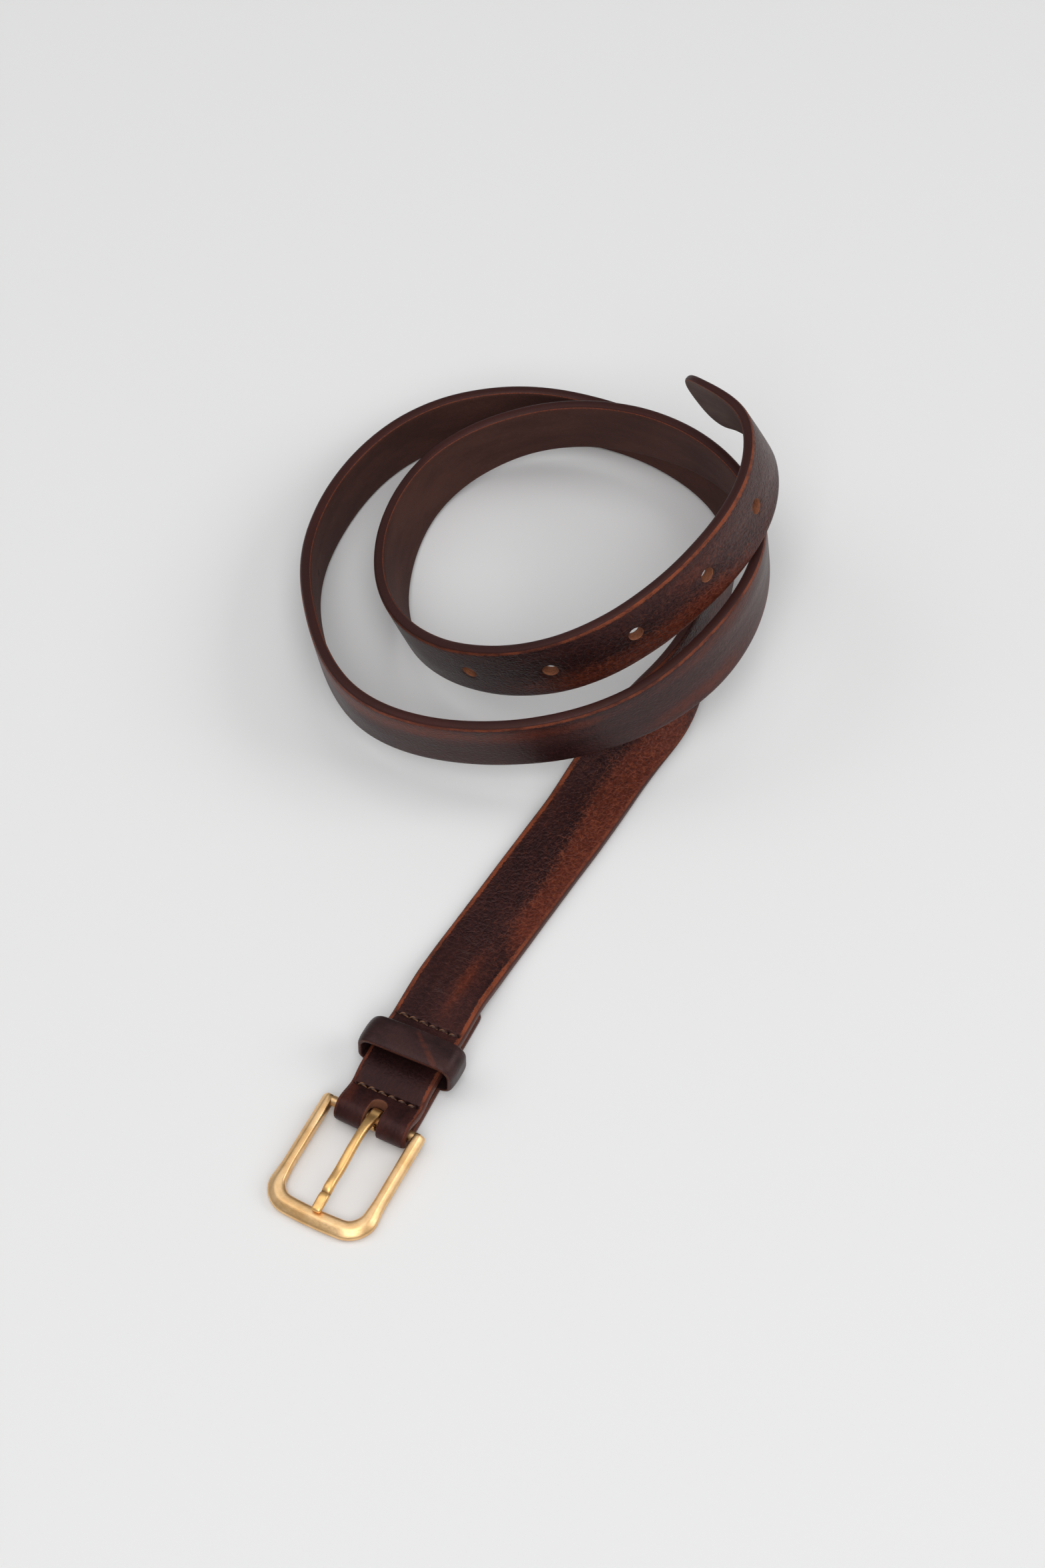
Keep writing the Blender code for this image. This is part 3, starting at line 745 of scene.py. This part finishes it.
def strapHeights(shape, along, across, shareHigh, holes, stitchAlong):
    # Height out of the grain: the section's share, plus a slight crown, less bell-shaped dents round each
    # hole and at each awl hole. Also gives the painted shade in and round the awl holes
    onGrain = (shareHigh > 0.98) & (np.abs(across) < shape["flatEnd"])
    crown = shape["crown"] * (1 - (across / (route["width"] / 2)) ** 2)
    (sinkDepth, sinkWidth), (troughShare, troughWidth) = shape["sink"], shape["trough"]
    fromRims = [np.hypot(along - s, across) - shape["holeCut"][0] for s in holes]
    sink = sum(sinkDepth * np.exp(-((far / sinkWidth) ** 2)) for far in fromRims)
    awl, shade = np.zeros_like(along), np.zeros_like(along)
    half = (shape["stitchCount"] - 1) / 2
    for s in stitchAlong:
        nearest = np.clip(np.round(across / shape["stitchPitch"]), -half, half) * shape["stitchPitch"]
        far = np.hypot(along - s, across - nearest)
        awl += np.exp(-((far / shape["awlSpread"]) ** 2))
        shade += np.exp(-((far / shape["awlShade"]) ** 4))
        between = np.abs(across) < half * shape["stitchPitch"]
        awl += troughShare * np.exp(-(((along - s) / troughWidth) ** 2)) * between
    height = shareHigh * thicknessAt(along) / 2
    height += np.where(onGrain, crown - sink - awl * shape["awlDepth"], 0.0)
    return height, np.clip(shade, 0, 1) * onGrain


def makeStrap(shape):
    # A rounded section carried along the route, drawn in to its tip and its square return end. Each hole
    # is a patch of the grid swapped for rings that run from the patch's border to the rim and through it
    holes = beltLength - shape["lastHoleToTip"] - np.arange(shape["holeCount"])[::-1] * shape["holePitch"]
    slotY = shape["slotEnd"] - shape["slotCut"][0]
    slot = (alongAt(slotY, False), alongAt(slotY, True))
    rowYs = (-shape["rowDistance"], shape["rowDistance"])
    stitchAlong = [alongAt(y, upper) for upper in (False, True) for y in rowYs]
    share, reach, high, side, walk = strapColumns(shape)
    half, edge = shape["flatHalf"], shape["edgeReach"]

    middle = strapRows(shape, holes, slot, stitchAlong)
    flatOut = np.zeros_like(middle)
    body = np.stack([middle, flatOut + half, flatOut, flatOut + 1.0], axis=1)
    startAt, tipAt = shape["startLength"], shape["tipLength"]
    start = roundedEnd(startAt, startAt - edge, half, shape["startPower"], 9, -1)
    tip = roundedEnd(beltLength - tipAt, tipAt - edge, half, shape["tipPower"], 22, 1)
    rows = np.concatenate([start, body, tip])
    rowAlong, rowHalf, outAlong, outAcross = (rows[:, k : k + 1] for k in range(4))
    along = rowAlong + reach * outAlong
    across = share * rowHalf + side * reach * outAcross
    count, columns = along.shape
    edgeWander = wander(rowAlong[:, 0], 0.09)[:, None] * np.abs(side) * (reach > 0)
    across = across + side * edgeWander * outAcross
    base = np.stack([values.ravel() for values in np.broadcast_arrays(along, across, high, walk, 0.0)])

    # patches for the holes and the slot
    cuts = [(s, s, shape["holeCut"]) for s in holes] + [(slot[0], slot[1], shape["slotCut"])]
    keep = np.ones((count - 1, columns), bool)
    extra, moreFaces, moreFinish = [], [], []
    total = count * columns
    lastFlat = 2 * shape["halfColumns"]
    flatColumns = np.arange(lastFlat + 1)
    fleshOf = 2 * lastFlat + 1 + shape["edgePoints"] - flatColumns  # the flesh column under each
    columnAcross = (flatColumns - shape["halfColumns"]) * shape["columnStep"]
    for first, last, cut in cuts:
        i0 = int(np.argmin(np.abs(rowAlong[:, 0] - (first - cut[1]))))
        i1 = int(np.argmin(np.abs(rowAlong[:, 0] - (last + cut[1]))))
        j0 = int(np.argmin(np.abs(columnAcross + cut[1])))
        j1 = lastFlat - j0
        keep[i0:i1, j0:j1] = False
        keep[i0:i1, fleshOf[j1] : fleshOf[j0]] = False
        up, over = np.arange(i0, i1), np.arange(j0, j1)
        loopRow = np.r_[np.full(over.size, i0), up, np.full(over.size, i1), up[::-1] + 1]
        loopColumn = np.r_[over, np.full(up.size, j1), over[::-1] + 1, np.full(up.size, j0)]
        border = rowAlong[loopRow, 0], columnAcross[loopColumn]
        levels, ringCount = cutLevels(cut, first, last, *border, walk.max())
        extra += levels
        ends = total + np.arange(len(levels) * loopRow.size).reshape(len(levels), -1)
        total += ends.size
        loops = [loopRow * columns + loopColumn, *ends, loopRow * columns + fleshOf[loopColumn]]
        for k, (a, b) in enumerate(zip(loops, loops[1:])):
            moreFaces.append(np.stack([a, np.roll(a, -1), np.roll(b, -1), b], axis=1))
            moreFinish.append(np.full(a.size, int(ringCount - 1 <= k <= ringCount + 3)))

    faces = gridFaces(count, columns)[keep.ravel()]
    allFaces = np.concatenate([faces] + moreFaces)
    finish = np.concatenate([np.zeros(len(faces), int)] + moreFinish)
    along, across, shareHigh, around, rim = np.concatenate([base] + extra, axis=1)
    height, paintedAwlShade = strapHeights(shape, along, across, shareHigh, holes, stitchAlong)
    place = bend(along, across, height)
    place[:, 2] = np.maximum(place[:, 2], shape["lowest"])
    piece = meshPiece("beltStrap", place, allFaces, [grainLeather(), rawLeather()], finish)

    pointVectors(piece, "unrolled", np.stack([along, across, height], axis=1) * mm)
    grain = shareHigh > -0.2
    for name, listed in (
        ("redWash", "redPatches"), ("paintedSheen", "sheenPatches"),
        ("blackened", "blackPatches"), ("wrinkled", "wrinklePatches"),
    ):
        pointValues(piece, name, patches(shape[listed], along, across) * grain)
    onPlus, onMinus = wornSpans(shape["rubbedPlus"], along), wornSpans(shape["rubbedMinus"], along)
    tipStart, tipEnd = (beltLength - back for back in shape["tipGrey"])
    for name, values in (
        ("around", around), ("pebbly", patches(shape["pebblyPatches"], along, across)),
        ("rubbed", np.where(across > 0, onPlus, onMinus)), ("tipGrey", ease(along, tipStart, tipEnd)),
        ("redEdge", wornSpans(shape["redEdges"], along)), ("cutRim", rim), ("paintedAwlShade", paintedAwlShade),
    ):
        pointValues(piece, name, values)
    return finishMesh(piece, 50.0)


strap = makeStrap(strapShape)
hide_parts("strap")
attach(strap, "strap")
print("strap made:", len(strap.data.polygons), "faces")


def sweep(path, across, upward, section):
    # Section points, out along `across` and `upward` from each point of the path: rows follow the path
    across, upward = across[:, None, :], upward[:, None, :]
    return path[:, None, :] + section[..., 0:1] * across + section[..., 1:2] * upward


def alongPath(path):
    return np.concatenate([[0.0], np.cumsum(np.linalg.norm(np.diff(path, axis=0), axis=1))])


def resample(path, count):
    walk = alongPath(path)
    at = np.linspace(0, walk[-1], count)
    return np.stack([np.interp(at, walk, path[:, k]) for k in range(path.shape[1])], axis=1)


keeperShape = {
    "length": 9.4,
    "centreX": 0.0,
    "centreY": 1.3,
    "insideHalf": 12.6,
    "wall": 1.9,
    "floorWall": 1.2,
    "low": 2.6,
    "insideTop": 11.9,
    "corner": 3.4,
    "lowSquash": 0.7,  # the lower corners are flatter
    "sectionPower": 3.4,
    "arch": 0.35,
    "crown": 0.18,
    "skew": 0.045,
    "plum": (0.0150, 0.0068, 0.0072),
    "plumLight": (0.032, 0.0145, 0.0135),
    "plumRed": (0.066, 0.0185, 0.0125),
    "frontRust": (0.085, 0.027, 0.0155),
}


def keeperLeather(look):
    # Plum-brown satin leather with a red streak across the top and a burnished front edge
    made, shader = newMaterial("keeperLeather")
    where = attribute("unrolled", "Vector")
    slow = cloud(stretched(where, (0.5, 1.0, 1.0)), 160.0, 5.0, 0.6)
    fine = cloud(where, 1400.0, 4.0, 0.6)
    color = blend(fade(slow, 0.35, 0.68), look["plum"], look["plumLight"])
    streak = attribute("redStreak")
    share = fade(plus(streak, times(minus(slow, 0.5), 1.1)), 0.35, 0.95)
    color = blend(share, color, look["plumRed"])
    edgeShare = fade(plus(attribute("edgeBand"), times(minus(fine, 0.5), 0.6)), 0.35, 0.8)
    color = blend(times(edgeShare, 0.7), color, look["frontRust"])
    color = blend(1.0, color, speckColor(fade(fine, 0.3, 0.7, 0.85, 1.15)), "MULTIPLY")
    gloss(shader, 0.30, (1.0, 0.66, 0.64))
    pebble = cells(warped(where, 700.0, 0.0006), 1500.0)
    height = plus(times(fade(pebble, 0.0, 0.4), 0.35), times(fine, 0.4))
    surface(shader, color, fade(slow, 0.3, 0.7, 0.33, 0.46), height, 0.4, 0.00012)
    return made


def makeKeeper(shape):
    # A rounded strip section carried round a rounded box that stands across the strap
    midHalf = shape["insideHalf"] + shape["wall"] / 2
    lowZ, topZ = shape["low"] + shape["floorWall"] / 2, shape["insideTop"] + shape["wall"] / 2
    r = shape["corner"]
    low = shape["lowSquash"]
    arcs = []
    for x, z, squash, begin in (
        (midHalf - r, topZ - r, 1.0, 0), (r - midHalf, topZ - r, 1.0, 90),
        (r - midHalf, lowZ + r * low, low, 180), (midHalf - r, lowZ + r * low, low, 270),
    ):
        angle = np.radians(np.linspace(begin, begin + 90, 15))
        arcs.append(np.stack([x + r * np.cos(angle), z + r * squash * np.sin(angle)], axis=1))
    outline = np.concatenate(arcs + [arcs[0][:1]])
    line = resample(outline, 181)[:-1]
    walk = alongPath(np.concatenate([line, line[:1]]))[:-1]
    x, z = line.T
    z = z + shape["arch"] * np.clip(1 - (x / midHalf) ** 2, 0, 1) * (z > (lowZ + topZ) / 2)
    ahead = unit(np.roll(line, -1, axis=0) - np.roll(line, 1, axis=0))
    outX, outZ = ahead[:, 1], -ahead[:, 0]
    centreX = shape["centreX"]
    turn = np.linspace(0, 2 * pi, 49)[:-1]
    su, sv = superCurve(turn, shape["sectionPower"])
    thick = np.where(z < lowZ + 1.2, shape["floorWall"], shape["wall"])
    thick = np.convolve(np.r_[thick[-4:], thick, thick[:4]], np.ones(9) / 9, "valid")
    crown = np.where(sv > 0.5, shape["crown"] * (1 - su**2), 0.0)
    outwards = sv[None, :] * thick[:, None] / 2 + crown[None, :] * (thick[:, None] / shape["wall"])
    uneven = wander(walk, 0.12, 5, 60.0, 14.0)[:, None] * np.sign(su)[None, :]
    slide = su[None, :] * shape["length"] / 2 + uneven
    px = centreX + x[:, None] + outX[:, None] * outwards
    pz = z[:, None] + outZ[:, None] * outwards
    py = shape["centreY"] + slide + shape["skew"] * (px - centreX)
    place = np.stack([px, py, pz], axis=-1)
    faces = gridFaces(len(line) + 1, len(turn)) % (len(line) * len(turn))
    piece = meshPiece("keeperLoop", place.reshape(-1, 3), faces, [keeperLeather(shape)])
    walkAll = np.broadcast_to(walk[:, None], px.shape)
    pointVectors(piece, "unrolled", np.stack([walkAll, slide, outwards], axis=-1).reshape(-1, 3) * mm)
    # the streak falls from the rear of the top's middle to the front of its right side
    fromStreak = (px - centreX - 4.0) + slide * 1.15
    redStreak = 0.9 * np.exp(-((fromStreak / 1.5) ** 2)) * ease(px - centreX, -5.0, 3.0) * (pz > 9.0)
    pointValues(piece, "redStreak", redStreak.ravel())
    edgeBand = np.clip((np.abs(su) - 0.93) / 0.07, 0, 1)[None, :] * np.where(su < 0, 1.0, 0.75)[None, :]
    pointValues(piece, "edgeBand", np.broadcast_to(edgeBand, px.shape).ravel())
    return finishMesh(piece, 60.0)


keeper = makeKeeper(keeperShape)
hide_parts("keeper")
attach(keeper, "keeper")
print("keeper made")


stitchShape = {
    "thread": 0.36,  # radius of the thread
    "plies": 2,
    "twist": 1.5,  # turns in one stitch
    "plyDepth": 0.13,
    "slant": 0.24,
    "uneven": 0.05,
    "over": (-1.15, 1.3),  # start below the leather's top, and rise from there
    "under": (1.1, -0.68),  # the same for the lower runs, from the floor
    "archPower": 2.2,
    "lightTan": (0.200, 0.086, 0.042),
    "plyShadeTan": (0.048, 0.021, 0.012),
}


def threadFinish(look):
    # Waxed linen: tan, with painted shade in the grooves between the plies
    made, shader = newMaterial("waxedThread")
    where = attribute("unrolled", "Vector")
    groove = attribute("groove")
    fuzz = cloud(where, 3000.0, 4.0, 0.7)
    # painted shade: darker where the plies meet
    color = blend(fade(plus(groove, times(fuzz, 0.6)), 0.35, 1.1), look["plyShadeTan"], look["lightTan"])
    surface(shader, color, fade(fuzz, 0.3, 0.7, 0.5, 0.68), fuzz, 0.5, 0.0001)
    return made


threadMaterial = threadFinish(stitchShape)


def makeStitches(name, y, shape):
    # For each gap between holes a twisted thread arches over the leather and dives into both holes, above
    # and below: radius r (1 + depth cos(plies (angle - twist))), on a line that rises as a sine's power
    pitch, count = strapShape["stitchPitch"], strapShape["stitchCount"] - 1
    centre = float(driftAt(y))
    upper = float(readLine(linePoint, alongAt(y))[2] + thicknessAt(alongAt(y)) / 2)
    t = np.linspace(0, 1, 25)
    angle = np.linspace(0, 2 * pi, 13)[:-1]
    starts = (np.arange(count) - count / 2) * pitch
    points, grooves, unrolled, faces = [], [], [], []
    first = 0
    lift = np.sin(pi * t) ** shape["archPower"]
    for over in (True, False):
        for startX in starts:
            wobble = rng.normal(0, shape["uneven"], 3)
            x = centre + startX + pitch * t
            slant = shape["slant"] * (1 + wobble[0]) * (1 if over else -1)
            yLine = y + slant * (t - 0.5) * 2 + wobble[1]
            begin, rise = shape["over"] if over else shape["under"]
            z = upper + begin + lift * (rise + wobble[2] * 0.4) if over else begin + lift * rise
            path = np.stack([x, yLine, z], axis=1)
            ahead = unit(np.gradient(path, axis=0))
            across = unit(np.cross(ahead, (0.0, 0.0, 1.0)))
            upward = np.cross(across, ahead)
            ply = np.cos(shape["plies"] * (angle[None, :] - 2 * pi * shape["twist"] * t[:, None] / 2))
            taper = np.minimum(1.0, 0.15 + np.sin(pi * t) * 5)[:, None]
            radius = shape["thread"] * (1 + shape["plyDepth"] * ply) * taper
            section = np.stack([radius * np.cos(angle), radius * np.sin(angle)], axis=-1)
            section[[0, -1]] = 0.0
            tube = sweep(path, across, upward, section)
            points.append(tube.reshape(-1, 3))
            grooves.append((0.5 + 0.5 * ply).ravel())
            unrolled.append((tube * mm).reshape(-1, 3))
            faces.append(gridFaces(len(t), len(angle), first))
            first += tube.shape[0] * tube.shape[1]
    piece = meshPiece(name, np.concatenate(points), np.concatenate(faces), [threadMaterial])
    pointValues(piece, "groove", np.concatenate(grooves))
    pointVectors(piece, "unrolled", np.concatenate(unrolled))
    return finishMesh(piece, 80.0)


for name, node, y in (
    ("frontStitches", "stitch_row_front", -strapShape["rowDistance"]),
    ("rearStitches", "stitch_row_rear", strapShape["rowDistance"]),
):
    row = makeStitches(name, y, stitchShape)
    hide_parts(node)
    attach(row, "strap")
print("stitches made")


brassLook = {
    "light": (0.93, 0.63, 0.335),
    "deep": (0.76, 0.46, 0.20),
    "prong": (0.93, 0.57, 0.22),
    # dark brown for patina and painted shade in corners and crevices
    "patinaShadeTone": (0.16, 0.085, 0.035),
}


def satinBrass(name, base, deep):
    # Tumbled brass: warm metal with a cloudy tone, fine scratches along the piece, patina and painted
    # shade in its corners
    made, shader = newMaterial(name)
    where = attribute("unrolled", "Vector")
    slow = cloud(where, 170.0, 4.0, 0.6)
    brushed = cloud(stretched(where, (0.06, 1.0, 1.0)), 5200.0, 3.0, 0.6)
    grit = cloud(where, 1900.0, 4.0, 0.65)
    color = blend(fade(slow, 0.3, 0.7), base, deep)
    # patina and painted shade: darker in the frame's lower inside corners, near and along the bar, and in
    # the prong's groove and eye
    color = blend(times(attribute("patinaAndShade"), 0.85), color, brassLook["patinaShadeTone"])
    shader.inputs["Metallic"].default_value = 1.0
    rough = plus(fade(grit, 0.3, 0.7, 0.30, 0.40), times(brushed, 0.08))
    surface(shader, color, rough, plus(times(brushed, 0.5), grit), 0.25, 0.00008)
    return made


frameShape = {
    "halfWidth": 15.8,
    "shift": -0.5,
    "front": -55.3,
    "rear": -18.4,
    "thickness": 3.3,
    "sideWidth": 3.5,
    "frontWidth": 5.2,
    "bow": 0.7,
    "corner": 7.5,
    "tilt": 4.0,
    "stub": 1.5,  # length over which each end rounds off
    "barPatinaShadeReach": 1.8,  # how far the patina and painted shade reach from the bar
    # the section as (across, height), from -1 inside and below to 1 outside and above
    "section": (
        (-0.62, -1.0), (-0.88, -0.88), (-1.0, -0.55), (-1.0, 0.30), (-0.92, 0.66), (-0.72, 0.93),
        (-0.55, 1.0), (0.02, 1.0), (0.20, 0.95), (0.80, 0.34), (0.96, 0.10), (1.0, -0.15),
        (1.0, -0.55), (0.86, -0.88), (0.62, -1.0),
    ),
}


def cutCorners(points):
    # Each side gives points at 1/4 and 3/4 of its length, so corners round off
    points = np.array(points, float)
    after = np.roll(points, -1, axis=0)
    return np.stack([0.75 * points + 0.25 * after, 0.25 * points + 0.75 * after], axis=1).reshape(-1, 2)


def makeBuckle(shape):
    # A faceted section carried round a U with a bowed front, closed by rounded stubs, and the bar between
    half, corner = shape["halfWidth"], shape["corner"]
    mid = shape["sideWidth"] / 2
    side, front = half - mid, shape["front"] + shape["frontWidth"] / 2
    r = corner - mid
    angle = np.radians(np.linspace(0, -90, 25))
    rear = np.array([[side, shape["rear"]]])
    right = np.stack([side - r + r * np.cos(angle), front + r + r * np.sin(angle)], axis=1)
    bowX = np.linspace(side - r, r - side, 21)[1:-1]
    bow = np.stack([bowX, np.full_like(bowX, front)], axis=1)
    left = right[::-1] * (-1, 1)
    line = np.concatenate([rear, right, bow, left, rear * (-1, 1)])
    bulge = np.clip(1 - (line[:, 0] / (half - corner * 0.4)) ** 2, 0, 1) * (line[:, 1] < front + 3)
    line[:, 1] -= shape["bow"] * bulge
    line = resample(line, 170)
    walk = alongPath(line)
    ahead = unit(np.gradient(line, axis=0))
    outward = np.stack([-ahead[:, 1], ahead[:, 0]], axis=1)
    outward *= np.sign((outward * (line - (0, -30))).sum(axis=1).mean())
    frontness = ease(-line[:, 1], -(front + r + 6), -(front + 1.0))
    wide = shape["sideWidth"] + (shape["frontWidth"] - shape["sideWidth"]) * frontness
    section = cutCorners(shape["section"])
    fromEnd = np.minimum(walk, walk[-1] - walk)
    rounding = np.sqrt(np.clip(1 - (1 - np.clip(fromEnd / shape["stub"], 0, 1)) ** 2, 0.0, 1.0))
    solid = rounding > 0
    across = section[None, :, 0] * (wide / 2 * (0.25 + 0.75 * rounding) * solid)[:, None]
    high = section[None, :, 1] * (shape["thickness"] / 2 * (0.35 + 0.65 * rounding) * solid)[:, None]
    high = high + wander(walk, 0.04, 5, 40.0, 8.0)[:, None] * rounding[:, None]
    x = line[:, 0:1] + outward[:, 0:1] * across
    y = line[:, 1:2] + outward[:, 1:2] * across
    frameFaces = gridFaces(len(line), len(section))
    # the bar: a plain rod from stub to stub
    barTurn = np.linspace(0, 2 * pi, 33)[:-1]
    barX = np.linspace(-side, side, 40)
    barRadius = np.full(len(barX), route["barRadius"])
    barRadius[[0, -1]] = 0.0
    bx = np.broadcast_to(barX[:, None], (len(barX), len(barTurn)))
    by = route["barY"] + barRadius[:, None] * np.cos(barTurn)
    bz = barRadius[:, None] * np.sin(barTurn)
    tilt = radians(shape["tilt"])
    yy = np.concatenate([y.ravel(), by.ravel()]) - route["barY"]
    zz = np.concatenate([high.ravel(), bz.ravel()])
    xx = np.concatenate([x.ravel(), bx.ravel()]) + shape["shift"]
    tiltedY = route["barY"] + yy * cos(tilt) - zz * sin(tilt)
    place = np.stack([xx, tiltedY, barZ + yy * sin(tilt) + zz * cos(tilt)], axis=1)
    faces = np.concatenate([frameFaces, gridFaces(len(barX), len(barTurn), x.size)])
    finish = satinBrass("satinBrass", brassLook["light"], brassLook["deep"])
    piece = meshPiece("brassFrame", place, faces, [finish])
    u = np.concatenate([np.broadcast_to(walk[:, None], x.shape).ravel(), bx.ravel()])
    pointVectors(piece, "unrolled", np.stack([u, np.r_[across.ravel(), by.ravel()], zz], axis=1) * mm)
    # patina and painted shade on the lower inside faces and near the bar, and the bar a little darker all
    # over
    inner = np.clip(-section[None, :, 0] - 0.85, 0, 1) * 3 * np.clip(0.5 - section[None, :, 1], 0, 1)
    inside = section[None, :, 0] < -0.4
    nearBar = np.exp(-(((y - route["barY"]) / shape["barPatinaShadeReach"]) ** 2)) * inside * 0.8
    patinaAndShade = np.clip(np.broadcast_to(inner, x.shape) * 0.5 + nearBar, 0, 1)
    pointValues(piece, "patinaAndShade", np.r_[patinaAndShade.ravel(), np.full(bx.size, 0.3)])
    return finishMesh(piece, 60.0)


buckle = makeBuckle(frameShape)
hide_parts("buckle_frame")
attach(buckle, "buckle")
print("buckle frame made")


prongShape = {
    "eyeMiddle": 2.45,  # radius of the eye's mid line
    "eyeThick": 1.25,
    "eyeWide": 2.9,
    "eyeStart": 292.0,  # degrees round from the top, over the rear
    "radius": 1.4,
    "play": 0.3,
    "notch": (-26.9, 0.45),  # where the groove across the tip is, darkened with painted shade, and its half width
    # y from the bar, rise above the bar's top, half width, half thickness
    "hump": (
        (-1.6, -0.30, 1.42, 0.85), (-4.0, 0.40, 1.40, 1.20), (-7.0, 0.68, 1.32, 1.34),
        (-13.0, 0.22, 1.36, 1.38), (-20.0, -1.0, 1.38, 1.36),
    ),
    # the same above the frame's front
    "tip": (
        (-24.5, 2.50, 1.42, 1.30), (-26.2, 1.98, 1.42, 1.14), (-26.9, 1.68, 1.34, 0.96),
        (-27.6, 1.70, 1.42, 1.04), (-30.0, 1.42, 1.46, 1.04), (-32.2, 1.12, 1.38, 0.84),
        (-32.9, 1.00, 1.24, 0.66),
    ),
}


def makeProng(shape):
    # A rounded section carried round the eye and on over the hump to a flattened, wedge-shaped tip
    tilt = radians(frameShape["tilt"])
    barY = route["barY"]
    barTop = barZ + route["barRadius"] + shape["play"] + shape["radius"] * 0.9
    frontDrop = sin(tilt) * (barY - frameShape["front"])
    rest = barZ - frontDrop + cos(tilt) * frameShape["thickness"] / 2 + shape["play"]
    turn = np.radians(np.linspace(shape["eyeStart"], 0, 25))
    eyeY, eyeZ = barY + shape["eyeMiddle"] * np.sin(turn), barZ + shape["eyeMiddle"] * np.cos(turn)
    same = np.ones_like(turn)
    eye = np.stack([eyeY, eyeZ, same * shape["eyeWide"] / 2, same * shape["eyeThick"] / 2], axis=1)
    hump, tip = np.array(shape["hump"]), np.array(shape["tip"])
    hump = np.stack([barY + hump[:, 0], barTop + hump[:, 1], hump[:, 2], hump[:, 3]], axis=1)
    tip = np.stack([barY + tip[:, 0], rest + tip[:, 1], tip[:, 2], tip[:, 3]], axis=1)
    knots = np.concatenate([eye, hump, tip])
    curve = naturalCubic(np.concatenate([np.zeros((len(knots), 1)), knots], axis=1), 260)
    y, z, wide, thick = curve[:, 1], curve[:, 2], curve[:, 3], curve[:, 4]
    line = np.stack([np.zeros_like(y), y, z], axis=1)
    along = alongPath(line)
    ahead = unit(np.gradient(line, axis=0))
    across = np.tile((1.0, 0.0, 0.0), (len(line), 1))
    upward = np.cross(ahead, across)
    angle = np.linspace(0, 2 * pi, 33)[:-1]
    # squarer where it is flattened, rounder along the rod
    power = 2.4 + 1.4 * (1 - ease(along, 14.0, 18.0)) + 1.0 * ease(-y, 46.0, 48.0)
    su, sv = superCurve(angle, power[:, None])
    toEnd = np.minimum(along / 0.5, (along[-1] - along) / 0.7)
    endRound = np.sqrt(np.clip(1 - (1 - np.clip(toEnd, 0, 1)) ** 2, 0, 1))
    size = np.where(endRound > 0, 0.35 + 0.65 * endRound, 0.0)
    section = np.stack([su * (wide * size)[:, None], sv * (thick * size)[:, None]], axis=-1)
    tube = sweep(line, across, upward, section)
    finish = satinBrass("prongBrass", brassLook["prong"], brassLook["deep"])
    piece = meshPiece("brassProng", tube.reshape(-1, 3), gridFaces(len(line), len(angle)), [finish])
    unrolled = np.concatenate([np.broadcast_to(along[:, None, None], (*su.shape, 1)), section], axis=-1)
    pointVectors(piece, "unrolled", unrolled.reshape(-1, 3) * mm)
    notchY, notchHalf = shape["notch"]
    # painted shade in the groove across the tip, and patina with painted shade inside the eye
    crease = np.exp(-(((y - (barY + notchY)) / notchHalf) ** 2))[:, None] * np.ones_like(su)
    inEye = (1 - ease(along, 8.0, 13.0))[:, None] * 0.45
    pointValues(piece, "patinaAndShade", np.clip(crease * 0.9 + inEye, 0, 1).ravel())
    return finishMesh(piece, 60.0)


prong = makeProng(prongShape)
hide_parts("prong")
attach(prong, "prong")
print("prong made")


floorMesh = bpy.data.meshes.new("paleFloor")
far, drop = studio["floorHalf"], -studio["floorDrop"]
floorCorners = [(-far, -far, drop), (far, -far, drop), (far, far, drop), (-far, far, drop)]
floorMesh.from_pydata(floorCorners, [], [(0, 1, 2, 3)])
floor = bpy.data.objects.new("paleFloor", floorMesh)
bpy.context.scene.collection.objects.link(floor)
floorMaterial, floorShader = newMaterial("paleFloorPaint")
floorShader.inputs["Base Color"].default_value = (studio["floorTone"],) * 3 + (1.0,)
floorShader.inputs["Roughness"].default_value = 0.9
floorShader.inputs["Specular IOR Level"].default_value = 0.1
floorMesh.materials.append(floorMaterial)
